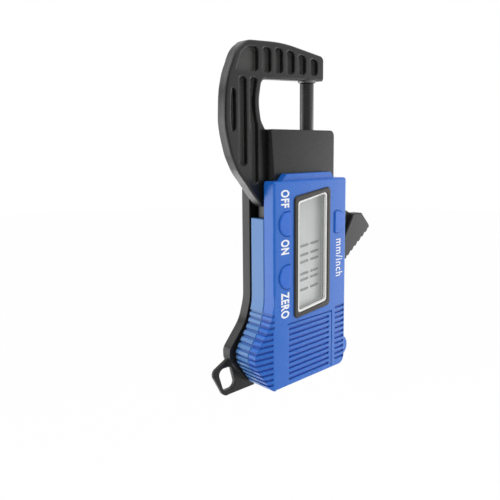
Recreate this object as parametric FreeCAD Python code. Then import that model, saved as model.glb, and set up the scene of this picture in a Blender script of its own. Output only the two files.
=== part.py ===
import FreeCAD, Part
import math
import os

# Digital thickness gauge, modelled in millimetres.
# Modelling frame: x runs to the right from the housing's left face, y runs back from the
# front face of the housing, z runs up from the housing's bottom.
# Each finished node is moved so that the origin is the centre of the anvil's face.

V = FreeCAD.Vector

# Housing
BODY_W = 35.0
BODY_H = 67.0
WALL = 1.6
COVER_BACK = 4.9
SHELL_BACK = 10.6
SHELL_TOP = 55.0
BAND_FRONT = 11.4
BAND_BACK = 15.3
BAND_TOP = 64.0
BULGE_BACK = 19.5
CORNER_R = 3.0
EDGE_R = 0.6
SEAM = 0.3
TINY = 0.001
ROUND_SHARE = 0.45

# The flare on the left side. A corner holds x, z and its rounding radius.
FLARE_START = (0.0, 28.2, 15.0)
FLARE_HOLLOW = (-1.6, 21.3, 12.0)
FLARE_SHOULDER = (-7.1, 13.0, 4.0)
FLARE_LOW = (-6.9, 9.3, 4.0)
FLARE_FOOT = (-0.8, 0.0, 3.0)
FLARE_BEGIN_Z = 31.0
FLARE_BACKSET = 1.4
BAND_EXTRA = 1.9
BUMP_REACH = 3.2
BUMP_LOW_Z = 2.0
BUMP_TOP_Z = 9.6

# Grip grooves
GROOVE_PITCH = 1.87
GROOVE_H = 0.8
GROOVE_DEPTH = 0.5
GROOVE_FIRST_Z = 2.3
FRONT_GROOVES = 10
SIDE_GROOVES = 13
STRIP_GROOVES = 11
STRIP_FIRST_Z = 2.9
PANEL_LEFT = 6.4
PANEL_MARGIN = 8.7
PANEL_EDGE_MARGIN = 7.6
PANEL_RIGHT = BODY_W - PANEL_MARGIN
PANEL_EDGE_X = BODY_W - PANEL_EDGE_MARGIN
PANEL_TOP_Z = 20.6
STRIP_LEFT_MARGIN = 5.6
STRIP_RIGHT_MARGIN = 0.6
STRIP_LEFT = BODY_W - STRIP_LEFT_MARGIN
STRIP_RIGHT = BODY_W - STRIP_RIGHT_MARGIN
LINE_W = 0.4

# Lip above the front cover
LIP_CENTRE_X = BODY_W / 2 - SEAM
LIP_HALF_BOTTOM = 12.6
LIP_HALF_TOP = 10.6
LIP_H = 2.1
LIP_FRONT = 1.2

# Frame plate with the C-shaped head
PLATE_FRONT = 6.0
PLATE_BACK = 10.0
PLATE_TIP = (0.9, 58.9, 0.0)
HEAD_WAIST = (-9.6, 70.1, 18.0)
HEAD_LOW = (-13.3, 83.0, 25.0)
HEAD_SIDE = (-13.6, 92.5, 20.0)
HEAD_UPPER = (-9.3, 106.6, 5.0)
HEAD_CORNER = (-5.2, 109.2, 6.0)
HEAD_TOP = (10.0, 110.1, 60.0)
HEAD_NOSE = (29.5, 107.6, 1.6)
ARM_NOSE = (29.5, 99.55, 0.9)
THROAT_TOP = (0.9, 98.3, 2.5)
THROAT_LEFT = (-0.45, 91.2, 14.0)
THROAT_LOWER = (0.5, 85.6, 5.0)
THROAT_FOOT = (2.2, 83.0, 0.8)
EDGE_ROUND = 0.35
SPINE_LEFT = 2.2
SPINE_RIGHT = 10.8
FOOT_LOW_Z = 9.0
FOOT_TOP_Z = 17.0
FOOT_MARGIN = 6.5
FOOT_RIGHT = BODY_W - FOOT_MARGIN
TONGUE_RIGHT = 17.0

# Pockets in the head
POCKET_DEPTH = 0.9
ARM_SLOT_W = 3.65
ARM_SLOT_LEFTS = (1.1, 6.2, 11.5, 16.9, 22.65)
ARM_SLOT_R = 1.25
ARM_MARGIN = 1.9
ARM_LOW_MARGIN = 1.7
ROOT_RIGHT = -0.7
ROOT_BOTTOM = 100.1
SIDE_SLOT_1 = (-11.9, -9.7, 82.1, 94.8)
SIDE_SLOT_2 = (-8.4, -5.5, 71.9, 98.3)
SIDE_SLOT_3 = (-4.1, -0.95, 66.3, 98.3)
SIDE_SLOT_R = 1.05
SLOT_R = 0.7

# Nose block and the slide
BLOCK_LEFT = 2.2
BLOCK_MARGIN = 2.8
BLOCK_RIGHT = BODY_W - BLOCK_MARGIN
BLOCK_FRONT = 3.5
BLOCK_LOW_Z = 58.5
BLOCK_TOP_Z = 83.0
BLOCK_R = 2.0
AXIS_X = 23.1
AXIS_Y = 8.0
ANVIL_Z = 98.6
ANVIL_SEAT_Z = 99.5
ANVIL_R = 3.0
ANVIL_STEM_R = 1.5
ANVIL_STEM_TOP = 100.3
SPINDLE_R = 2.35
SHANK_R = 1.5
RUN_CLEAR = 0.04
BUSH_R = 3.0
BUSH_L = 6.0
TRAVEL = 12.7
CHAMFER = 0.3

# Carriage, guide rod and spring
CAR_LEFT = 12.3
CAR_RIGHT = 27.5
CAR_FRONT = 5.8
CAR_BACK = 10.2
CAR_LOW_Z = 43.0
CAR_TOP_Z = 54.0
ROD_X = 14.4
ROD_R = 1.25
ROD_LOW_Z = 13.0
ROD_TOP_Z = 62.0
POST_R = 0.9
POST_LOW_Z = 13.5
POST_TOP_Z = 25.0
COIL_R = 1.7
WIRE_R = 0.24
WIRE_SIDES = 6
COILS = 10
READER_RIGHT = 23.4
READER_FRONT = 4.8
READER_LOW_Z = 40.0
GRUB_R = 1.0
GRUB_Z = 48.5

# Thumb lever
LEVER_FRONT = 2.7
LEVER_BACK = 6.2
TANG_LEFT = 24.4
TANG_FRONT = 4.65
TANG_OUT = 2.0
TANG_RIGHT = BODY_W + TANG_OUT
TANG_LOW_Z = 46.2
TANG_TOP_Z = 51.5
LEVER_OUT = 1.0
NOTCH_OUT = 7.8
TOP_OUT = 12.9
BEAK_OUT = 18.3
LOW_OUT = 3.8
LEVER_LEFT = BODY_W + LEVER_OUT
WEB_FRONT = 4.4
WEB_TOP_Z = 56.8
LEVER_NOTCH = (BODY_W + NOTCH_OUT, 53.4, 0.8)
LEVER_TOP = (BODY_W + TOP_OUT, 53.2, 1.2)
LEVER_BEAK = (BODY_W + BEAK_OUT, 47.5, 1.5)
LEVER_LOW = (BODY_W + LOW_OUT, 37.1, 1.0)
LEVER_BOTTOM_Z = 38.5
PAD_EDGE_Z = 42.7
LEVER_TEETH = 7
TOOTH_R = 0.45
SLOT_GAP = 0.4
LEVER_SCREW_X = 25.9
LEVER_SCREW_Z = 48.9

# Display
DISPLAY_LEFT = 8.7
DISPLAY_RIGHT = PANEL_RIGHT
DISPLAY_LOW_LEFT_Z = 21.9
DISPLAY_LOW_RIGHT_Z = 23.5
DISPLAY_TOP_LEFT_Z = 61.9
DISPLAY_TOP_RIGHT_Z = 64.4
BEZEL_PROUD = 0.5
BEZEL_R = 1.6
BEZEL_W = 1.65
FRAME_W = 0.65
LEDGE_W = 0.25
FRAME_FRONT = -0.2
LENS_FRONT = 0.0
LENS_BACK = 0.9
FLANGE_BACK = 2.1
LCD_BACK = 2.75
FLANGE_W = 0.8
STRIP_T = 1.6

# Board
BOARD_FRONT = 3.2
BOARD_BACK = 4.2
BOARD_SIDE = 2.2
BOARD_LOW_Z = 9.0
BOARD_TOP_Z = 58.0
CHIP_W = 7.0
CHIP_H = 7.0
CHIP_T = 0.9
CHIP_LEFT = 3.4
CHIP_LOW_Z = 40.0
SCALE_LEFT = 13.4
SCALE_RIGHT = 22.8
SCALE_LOW_Z = 24.0
SCALE_TOP_Z = 57.0
SCALE_T = 0.2
DOME_R = 2.0
DOME_TOP_R = 1.3
DOME_T = 0.5

# Buttons
BUTTON_PROUD = 0.45
BUTTON_GAP = 0.12
BUTTON_FLANGE = 0.35
BUTTON_FLANGE_T = 0.45
BUTTON_CORNER = 0.7
BUTTON_W = 5.2
BUTTON_HALF_H = 3.9
BUTTON_FLAT = 1.5
BUTTON_R = 0.3
LEFT_FLAT_X = 7.2
RIGHT_FLAT_MARGIN = 6.4
RIGHT_FLAT_X = BODY_W - RIGHT_FLAT_MARGIN
ON_OFF_Z = 53.5
ZERO_Z = 36.5
UNIT_Z = 51.9

# Screws
SCREW_R = 1.0
SCREW_HEAD_R = 1.9
SCREW_HEAD_T = 1.3
SCREW_SINK = 0.3
SCREW_TIP_Y = 2.5
BOSS_R = 2.4
CASE_LEFT_X = 5.2
CASE_MARGIN = 5.4
CASE_RIGHT_X = BODY_W - CASE_MARGIN
SCREW_WALL = 0.8
CASE_TOP_RIGHT_X = max(CASE_RIGHT_X, AXIS_X + BUSH_R + SCREW_R + SCREW_WALL)
CASE_LOW_Z = 5.0
CASE_TOP_Z = 61.6
BOARD_SCREW_R = 0.8
BOARD_SCREW_HEAD_R = 1.5
BOARD_SCREW_HEAD_T = 0.7
BOARD_POST_R = 1.7
BOARD_SCREW_Z = 12.0
RECESS_ARM = 0.35
RECESS_T = 0.6

# Battery and its bay in the back cover
CELL_X = BODY_W / 2
CELL_Z = 26.0
CELL_R = 5.8
CELL_FRONT = 12.75
CELL_T = 5.4
CELL_RIM = 0.5
BAY_R = 6.2
BAY_WALL = 1.4
BAY_FLOOR = 12.4
BULGE_LEFT = 6.5
BULGE_RIGHT = BODY_W - BULGE_LEFT
BULGE_LOW_Z = 9.0
BULGE_TOP_Z = 43.0
BULGE_R = 4.0
BULGE_TAPER = 1.0
DOOR_HALF_W = 7.6
DOOR_HALF_H = 10.0
DOOR_R = 2.0
DOOR_T = 1.1
DOOR_GAP = 0.15
DOOR_SINK = 0.1
DOOR_GRIPS = 4
LEAF_T = 0.25
LEAF_R = 3.6
LEAF_DOME_R = 1.2

# Lanyard loop
LOOP_FRONT = 13.1
LOOP_BACK = 14.7
LOOP_TOP = (-8.3, 9.6)
LOOP_SHOULDER = (-12.7, 7.4)
LOOP_LEFT = (-14.0, 6.1)
LOOP_SIDE = (-13.8, 4.3)
LOOP_LOW = (-10.9, -1.1)
LOOP_BEND = (-9.9, -2.2)
LOOP_BOTTOM = (-8.2, -2.45)
LOOP_END_X = 6.0
LOOP_HOLE = ((-12.6, 6.9, 2.0), (-6.9, 6.9, 2.0), (-4.9, -0.8, 2.0), (-10.2, -0.8, 2.0))


def point(xz, y=0.0):
    """A point of the front view at depth y."""
    return V(xz[0], y, xz[1])


def outline(start, steps):
    """Closed face in the front view. A step holds one point for a line or two for an arc."""
    edges = []
    here = start
    for step in steps:
        if len(step) == 1:
            edges.append(Part.LineSegment(point(here), point(step[0])).toShape())
        else:
            edges.append(Part.Arc(point(here), point(step[0]), point(step[1])).toShape())
        here = step[-1]
    if (point(here) - point(start)).Length > TINY:
        edges.append(Part.LineSegment(point(here), point(start)).toShape())
    return Part.Face(Part.Wire(edges))


def rounded_outline(corners):
    """Closed face in the front view from corners of x, z and rounding radius.

    A rounding takes at most a named share of the shorter side beside its corner.
    """
    rounds = []
    for k, (x, z, r) in enumerate(corners):
        corner = V(x, 0, z)
        before = V(corners[k - 1][0], 0, corners[k - 1][1]) - corner
        after = V(corners[(k + 1) % len(corners)][0], 0, corners[(k + 1) % len(corners)][1]) - corner
        room = ROUND_SHARE * min(before.Length, after.Length)
        before.normalize()
        after.normalize()
        if r == 0:
            rounds.append((corner, None, corner))
            continue
        half = before.getAngle(after) / 2
        reach = min(r / math.tan(half), room)
        r = reach * math.tan(half)
        inward = (before + after).normalize()
        middle = corner + inward * (r / math.sin(half) - r)
        rounds.append((corner + before * reach, middle, corner + after * reach))
    edges = []
    for k, (start, middle, end) in enumerate(rounds):
        if middle is not None:
            edges.append(Part.Arc(start, middle, end).toShape())
        following = rounds[(k + 1) % len(rounds)][0]
        if (following - end).Length > TINY:
            edges.append(Part.LineSegment(end, following).toShape())
    return Part.Face(Part.Wire(edges))


def slab(face, y0, y1):
    """The face stretched from depth y0 to depth y1."""
    moved = face.copy()
    moved.translate(V(0, y0, 0))
    return moved.extrude(V(0, y1 - y0, 0))


def box(x0, x1, y0, y1, z0, z1):
    """A block between two corners."""
    return Part.makeBox(x1 - x0, y1 - y0, z1 - z0, V(x0, y0, z0))


def rod_y(x, z, r, y0, y1):
    """A round bar along the depth."""
    return Part.makeCylinder(r, y1 - y0, V(x, y0, z), V(0, 1, 0))


def rod_z(x, y, r, z0, z1):
    """A round bar along the height."""
    return Part.makeCylinder(r, z1 - z0, V(x, y, z0))


def fused(shapes):
    """All the shapes as one."""
    first = shapes[0]
    return first.fuse(shapes[1:]).removeSplitter() if len(shapes) > 1 else first


def rounded_box(x0, x1, y0, y1, z0, z1, r):
    """A block whose four edges along the depth are rounded."""
    block = box(x0, x1, y0, y1, z0, z1)
    edges = [e for e in block.Edges if abs(e.Vertexes[0].Y - e.Vertexes[-1].Y) > (y1 - y0) / 2]
    return block.makeFillet(r, edges)


def edges_at(shape, y, tol=0.01):
    """The edges of a shape that lie at one depth."""
    return [e for e in shape.Edges if abs(e.BoundBox.YMin - y) < tol and abs(e.BoundBox.YMax - y) < tol]


def body_outline(top, extra):
    """Front view of the housing. Extra widens the flare for the back cover."""
    def out(corner):
        x, z, r = corner
        return (x * (1 + extra / -FLARE_SHOULDER[0]), z, r)
    return rounded_outline([
        (0.0, top, 0.0), FLARE_START, out(FLARE_HOLLOW), out(FLARE_SHOULDER), out(FLARE_LOW),
        out(FLARE_FOOT), (BODY_W, 0.0, CORNER_R), (BODY_W, top, 0.0)])


def inset(face, distance):
    """The face made smaller by a distance all round."""
    return face.makeOffset2D(-distance)


def front_wedge(depth):
    """What lies in front of the sloping face of the flare, moved back by a depth."""
    reach = -FLARE_SHOULDER[0]
    far = 2 * reach
    edges = Part.makePolygon([
        V(0, depth, 0), V(-far, depth + FLARE_BACKSET * far / reach, 0), V(-far, -far, 0),
        V(0, -far, 0), V(0, depth, 0)])
    return Part.Face(edges).extrude(V(0, 0, BODY_H)).translated(V(0, 0, -far))


def side_grooves():
    """Grooves round the flare, cut out of its outer skin only."""
    face = body_outline(BODY_H, 0.0)
    core = slab(inset(face, GROOVE_DEPTH), 0, BAND_FRONT)
    core = core.cut(front_wedge(GROOVE_DEPTH))
    bars = []
    for k in range(SIDE_GROOVES):
        z = GROOVE_FIRST_Z + k * GROOVE_PITCH - GROOVE_H / 2
        bars.append(box(-BODY_W, -GROOVE_DEPTH if z < PANEL_TOP_Z - 1 else GROOVE_DEPTH,
                        -1, SHELL_BACK, z, z + GROOVE_H))
    return Part.makeCompound([bar.cut(core) for bar in bars])


def grip_bump(y0, y1):
    """The low swelling on the right side near the bottom."""
    middle = (BUMP_LOW_Z + BUMP_TOP_Z) / 2
    face = outline((BODY_W - WALL, BUMP_LOW_Z), [
        [(BODY_W, BUMP_LOW_Z)],
        [(BODY_W + BUMP_REACH, middle), (BODY_W, BUMP_TOP_Z)],
        [(BODY_W - WALL, BUMP_TOP_Z)],
    ])
    return slab(face, y0, y1)


def button_face(flat_x, z, side, grow=0.0):
    """Half-oval button outline with its straight edge at flat_x. Side is -1 for left, 1 for right."""
    half = BUTTON_HALF_H + grow
    near = flat_x - side * grow
    turn = flat_x + side * BUTTON_FLAT
    far = flat_x + side * (BUTTON_W + grow)
    return outline((near, z - half), [
        [(near, z + half)],
        [(turn, z + half)],
        [(far, z), (turn, z - half)],
        [(near, z - half)],
    ])


def button_slab(flat_x, z, side, grow, y0, y1):
    """The button outline stretched between two depths, with its two corners rounded."""
    block = slab(button_face(flat_x, z, side, grow), y0, y1)
    near = flat_x - side * grow
    corners = [e for e in block.Edges if e.BoundBox.YLength > (y1 - y0) / 2
               and abs(e.BoundBox.Center.x - near) < TINY]
    return block.makeFillet(BUTTON_CORNER + grow, corners)


def display_face(shrink):
    """The slanted outline of the display, made smaller by a distance, with round corners."""
    left = DISPLAY_LEFT + shrink
    right = DISPLAY_RIGHT - shrink
    corners = [V(left, 0, DISPLAY_LOW_LEFT_Z + shrink), V(right, 0, DISPLAY_LOW_RIGHT_Z + shrink),
               V(right, 0, DISPLAY_TOP_RIGHT_Z - shrink), V(left, 0, DISPLAY_TOP_LEFT_Z - shrink)]
    plate = Part.Face(Part.makePolygon(corners + corners[:1])).extrude(V(0, BODY_W, 0))
    upright = [e for e in plate.Edges if abs(e.Vertexes[0].Y - e.Vertexes[-1].Y) > WALL]
    plate = plate.makeFillet(BEZEL_R - shrink / 4, upright)
    return [f for f in plate.Faces if abs(f.BoundBox.YMax) < SEAM / 10][0]


def pocket(corners):
    """A pocket from its corners, as a solid from before the front face of the plate."""
    return slab(rounded_outline(corners), PLATE_FRONT - 1, PLATE_FRONT + POCKET_DEPTH)


def line_z(start, end, x):
    """The height at x of the straight line between two corners."""
    return start[1] + (end[1] - start[1]) * (x - start[0]) / (end[0] - start[0])


def arm_low(x):
    """The lower end of a pocket in the arm at x."""
    return line_z(THROAT_TOP, ARM_NOSE, x) + ARM_LOW_MARGIN


def arm_high(x):
    """The upper end of a pocket in the arm at x."""
    ends = (HEAD_CORNER, HEAD_TOP) if x < HEAD_TOP[0] else (HEAD_TOP, HEAD_NOSE)
    return line_z(ends[0], ends[1], x) - ARM_MARGIN


def frame_outline():
    """Front view of the plate: head, tongue, spine and foot."""
    return rounded_outline([
        PLATE_TIP, HEAD_WAIST, HEAD_LOW, HEAD_SIDE, HEAD_UPPER, HEAD_CORNER, HEAD_TOP, HEAD_NOSE,
        ARM_NOSE, THROAT_TOP, THROAT_LEFT, THROAT_LOWER, THROAT_FOOT,
        (TONGUE_RIGHT, BLOCK_TOP_Z, 0.0),
        (TONGUE_RIGHT, BLOCK_LOW_Z, 0.0),
        (SPINE_RIGHT, BLOCK_LOW_Z, 0.0),
        (SPINE_RIGHT, FOOT_TOP_Z, 0.0),
        (FOOT_RIGHT, FOOT_TOP_Z, 0.0),
        (FOOT_RIGHT, FOOT_LOW_Z, 0.0),
        (SPINE_LEFT, FOOT_LOW_Z, 0.0),
        (SPINE_LEFT, PLATE_TIP[1], 0.0),
    ])


def head_pockets():
    """Blind pockets between the ribs of the head, seen from the front."""
    inner = slab(inset(frame_outline(), ARM_MARGIN), PLATE_FRONT - 1, PLATE_FRONT + POCKET_DEPTH)
    pockets = []
    for left in ARM_SLOT_LEFTS:
        right = left + ARM_SLOT_W
        pockets.append(pocket([
            (left, arm_low(left), ARM_SLOT_R), (right, arm_low(right), ARM_SLOT_R),
            (right, arm_high(right), ARM_SLOT_R), (left, arm_high(left), ARM_SLOT_R)]))
    far = HEAD_SIDE[0]
    pockets.append(pocket([
        (far, ROOT_BOTTOM, 0.0), (ROOT_RIGHT, ROOT_BOTTOM, ARM_SLOT_R),
        (ROOT_RIGHT, arm_high(ROOT_RIGHT), ARM_SLOT_R), (far, arm_high(far), 0.0)]).common(inner))
    for x0, x1, z0, z1 in (SIDE_SLOT_1, SIDE_SLOT_2, SIDE_SLOT_3):
        pockets.append(pocket([(x0, z0, SIDE_SLOT_R), (x1, z0, SIDE_SLOT_R), (x1, z1, SIDE_SLOT_R),
                               (x0, z1, SIDE_SLOT_R)]).common(inner))
    return pockets


def frame():
    """The black plate that carries the anvil and runs down inside the housing."""
    face = frame_outline()
    plate = slab(face, PLATE_FRONT, PLATE_BACK)
    plate = plate.makeChamfer(EDGE_ROUND, edges_at(plate, PLATE_FRONT) + edges_at(plate, PLATE_BACK))
    middle = (PLATE_FRONT + PLATE_BACK) / 2
    cuts = head_pockets()
    cuts += [hollow.mirror(V(0, middle, 0), V(0, 1, 0)) for hollow in cuts]
    cuts.append(rod_z(AXIS_X, AXIS_Y, ANVIL_R, ANVIL_Z, ANVIL_SEAT_Z))
    cuts.append(rod_z(AXIS_X, AXIS_Y, ANVIL_STEM_R, ANVIL_Z, ANVIL_STEM_TOP))
    cuts.append(rod_z(ROD_X, AXIS_Y, ROD_R, ROD_LOW_Z, ROD_TOP_Z))
    cuts.append(rod_z(AXIS_X, AXIS_Y, POST_R, POST_LOW_Z, FOOT_TOP_Z + 1))
    cuts.append(rod_y(CASE_LEFT_X, CASE_TOP_Z, SCREW_R, 0, BAND_BACK))
    return plate.cut(cuts)


def nose_block():
    """The block on the tongue of the plate, bored for the two bushes."""
    block = slab(rounded_outline([
        (BLOCK_LEFT, BLOCK_LOW_Z, 0.0), (BLOCK_RIGHT, BLOCK_LOW_Z, 0.0),
        (BLOCK_RIGHT, BLOCK_TOP_Z, BLOCK_R), (BLOCK_LEFT, BLOCK_TOP_Z, EDGE_ROUND)]), BLOCK_FRONT, BAND_FRONT)
    cuts = [
        box(BLOCK_LEFT - 1, TONGUE_RIGHT, PLATE_FRONT, PLATE_BACK, BLOCK_LOW_Z - 1, BLOCK_TOP_Z + 1),
        rod_z(AXIS_X, AXIS_Y, BUSH_R, BLOCK_LOW_Z - 1, BLOCK_TOP_Z + 1),
        rod_y(CASE_LEFT_X, CASE_TOP_Z, SCREW_R, 0, BAND_BACK),
        rod_y(CASE_TOP_RIGHT_X, CASE_TOP_Z, SCREW_R, 0, BAND_BACK),
    ]
    return block.cut(cuts)


def anvil():
    """The fixed measuring face, pressed into the arm by a stem."""
    disc = rod_z(AXIS_X, AXIS_Y, ANVIL_R, ANVIL_Z, ANVIL_SEAT_Z)
    low = [e for e in disc.Edges if abs(e.BoundBox.ZMax - ANVIL_Z) < CHAMFER / 10]
    disc = disc.makeChamfer(CHAMFER, low)
    return disc.fuse(rod_z(AXIS_X, AXIS_Y, ANVIL_STEM_R, ANVIL_SEAT_Z, ANVIL_STEM_TOP))


def bush(z0):
    """A plain bush that the spindle runs in."""
    ring = rod_z(AXIS_X, AXIS_Y, BUSH_R, z0, z0 + BUSH_L)
    return ring.cut(rod_z(AXIS_X, AXIS_Y, SPINDLE_R + RUN_CLEAR, z0 - 1, z0 + BUSH_L + 1))


def guide_rod():
    """The rod that stops the carriage from turning."""
    return rod_z(ROD_X, AXIS_Y, ROD_R, ROD_LOW_Z, ROD_TOP_Z)


def spring_post():
    """The pin that keeps the spring upright on the foot."""
    return rod_z(AXIS_X, AXIS_Y, POST_R, POST_LOW_Z, POST_TOP_Z)


def return_spring():
    """The coil spring between the foot and the carriage, with flat ends."""
    length = CAR_LOW_Z - FOOT_TOP_Z
    rise = length - 2 * WIRE_R
    helix = Part.makeHelix(rise / COILS, rise, COIL_R)
    turns = [2 * math.pi * k / WIRE_SIDES for k in range(WIRE_SIDES)]
    corners = [V(COIL_R + WIRE_R * math.cos(t), 0, WIRE_R * math.sin(t)) for t in turns]
    ring = Part.Wire(Part.makePolygon(corners + corners[:1]).Edges)
    coil = Part.Wire(helix.Edges).makePipeShell([ring], True, True)
    coil.translate(V(AXIS_X, AXIS_Y, FOOT_TOP_Z + WIRE_R))
    return coil


def front_cover():
    """The blue front: window, button holes, grip grooves, lip and screw bosses."""
    face = body_outline(BODY_H, 0.0)
    whole = slab(face, 0, COVER_BACK).cut(front_wedge(0.0))
    core = slab(rounded_outline([
        (0.0, BODY_H, CORNER_R / 3), (0.0, 0.0, CORNER_R / 3), (BODY_W, 0.0, CORNER_R),
        (BODY_W, BODY_H, CORNER_R / 3)]), 0, COVER_BACK)
    core = core.makeFillet(EDGE_R, edges_at(core, 0.0))
    wing = whole.common(box(-BODY_W, EDGE_R, 0, COVER_BACK, -1, FLARE_BEGIN_Z))
    cover = core.fuse([wing, grip_bump(COVER_BACK * SEAM, COVER_BACK)])
    hollow = slab(inset(face, WALL), WALL, COVER_BACK + 1)
    cover = cover.cut(hollow.cut(front_wedge(WALL)))
    lip = outline((LIP_CENTRE_X - LIP_HALF_BOTTOM, BODY_H - WALL), [
        [(LIP_CENTRE_X - LIP_HALF_BOTTOM, BODY_H)],
        [(LIP_CENTRE_X - LIP_HALF_TOP, BODY_H + LIP_H)],
        [(LIP_CENTRE_X + LIP_HALF_TOP, BODY_H + LIP_H)],
        [(LIP_CENTRE_X + LIP_HALF_BOTTOM, BODY_H)],
        [(LIP_CENTRE_X + LIP_HALF_BOTTOM, BODY_H - WALL)],
    ])
    adds = [slab(lip, LIP_FRONT, BLOCK_FRONT)]
    for x, z, back in case_screw_places():
        adds.append(rod_y(x, z, BOSS_R, WALL, min(back, COVER_BACK)))
    for x in (CASE_LEFT_X, CASE_RIGHT_X):
        adds.append(rod_y(x, BOARD_SCREW_Z, BOARD_POST_R, WALL, BOARD_FRONT))
    cover = cover.fuse(adds).removeSplitter()
    cuts = [slab(display_face(0.0), -1, WALL + 1)]
    cuts.append(box(BLOCK_LEFT - SEAM, BLOCK_RIGHT + SEAM, BLOCK_FRONT, COVER_BACK + 1,
                    BLOCK_LOW_Z - 1, BODY_H + LIP_H + 1))
    cuts.append(box(BODY_W - 2 * WALL, BODY_W + 1, LEVER_FRONT - SLOT_GAP, COVER_BACK + 1,
                    LEVER_LOW[1] - TRAVEL - SLOT_GAP, BLOCK_LOW_Z - SLOT_GAP))
    for x, z, side in ((LEFT_FLAT_X, ON_OFF_Z, -1), (LEFT_FLAT_X, ZERO_Z, -1),
                       (RIGHT_FLAT_X, UNIT_Z, 1)):
        cuts.append(button_slab(x, z, side, BUTTON_GAP, -1, WALL + 1))
    for x, z, back in case_screw_places():
        cuts.append(rod_y(x, z, SCREW_R, SCREW_TIP_Y, COVER_BACK + 1))
    for x in (CASE_LEFT_X, CASE_RIGHT_X):
        cuts.append(rod_y(x, BOARD_SCREW_Z, BOARD_SCREW_R, WALL, COVER_BACK))
    for k in range(FRONT_GROOVES):
        z = GROOVE_FIRST_Z + k * GROOVE_PITCH
        cuts.append(box(PANEL_LEFT, PANEL_RIGHT, -1, GROOVE_DEPTH, z - GROOVE_H / 2, z + GROOVE_H / 2))
    for k in range(STRIP_GROOVES):
        z = STRIP_FIRST_Z + k * GROOVE_PITCH
        cuts.append(box(STRIP_LEFT, STRIP_RIGHT, -1, GROOVE_DEPTH, z - GROOVE_H / 2, z + GROOVE_H / 2))
    cuts.append(box(PANEL_EDGE_X, PANEL_EDGE_X + LINE_W, -1, LINE_W, GROOVE_PITCH / 2, PANEL_TOP_Z))
    cuts.append(box(PANEL_LEFT - LINE_W, PANEL_EDGE_X + LINE_W, -1, LINE_W, PANEL_TOP_Z,
                    PANEL_TOP_Z + LINE_W))
    cover = cover.cut(cuts).cut(side_grooves())
    skin = slab(face, COVER_BACK - SEAM, COVER_BACK + 1).cut(
        slab(inset(face, SEAM), COVER_BACK - 2 * SEAM, COVER_BACK + 2))
    return cover.cut(skin)


def middle_shell():
    """The paler blue wall behind the front cover, open at the top."""
    face = body_outline(SHELL_TOP, 0.0)
    ring = slab(face, COVER_BACK, SHELL_BACK).fuse(grip_bump(COVER_BACK, SHELL_BACK))
    hollow = slab(inset(face, WALL), COVER_BACK - 1, SHELL_BACK + 1)
    ring = ring.cut([hollow, box(WALL, BODY_W - WALL, COVER_BACK - 1, SHELL_BACK + 1,
                                 SHELL_TOP - 2 * WALL, SHELL_TOP + 1)])
    bosses = [rod_y(x, CASE_LOW_Z, BOSS_R, COVER_BACK, SHELL_BACK) for x in (CASE_LEFT_X, CASE_RIGHT_X)]
    webs = [box(x - SCREW_R, x + SCREW_R, COVER_BACK, SHELL_BACK, WALL / 2, CASE_LOW_Z)
            for x in (CASE_LEFT_X, CASE_RIGHT_X)]
    ring = ring.fuse(bosses + webs).removeSplitter()
    cuts = [rod_y(x, CASE_LOW_Z, SCREW_R, 0, BAND_BACK) for x in (CASE_LEFT_X, CASE_RIGHT_X)]
    cuts.append(box(BODY_W - 2 * WALL, BODY_W + 1, COVER_BACK - 1, LEVER_BACK + SLOT_GAP,
                    LEVER_LOW[1] - TRAVEL - SLOT_GAP, SHELL_TOP + 1))
    return ring.cut(cuts).cut(side_grooves())


def loop_plate():
    """The lanyard loop at the bottom left of the back cover."""
    face = outline(LOOP_TOP, [
        [LOOP_SHOULDER],
        [LOOP_LEFT, LOOP_SIDE],
        [LOOP_LOW],
        [LOOP_BEND, LOOP_BOTTOM],
        [(LOOP_END_X - 2 * WALL, LOOP_BOTTOM[1])],
        [(LOOP_END_X, WALL)],
        [(WALL, LOOP_TOP[1])],
    ])
    plate = slab(face, LOOP_FRONT, LOOP_BACK)
    return plate.makeChamfer(EDGE_ROUND, edges_at(plate, LOOP_BACK))


def loop_hole():
    """The slanted hole of the loop."""
    return slab(rounded_outline(LOOP_HOLE), LOOP_FRONT - 1, LOOP_BACK + 1)


def bulge():
    """The raised back of the housing, tapered towards its face."""
    low = rounded_box(BULGE_LEFT, BULGE_RIGHT, BAND_BACK - WALL, BULGE_BACK, BULGE_LOW_Z, BULGE_TOP_Z,
                      BULGE_R)
    rim = edges_at(low, BULGE_BACK)
    return low.makeChamfer(BULGE_TAPER, rim)


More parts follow.
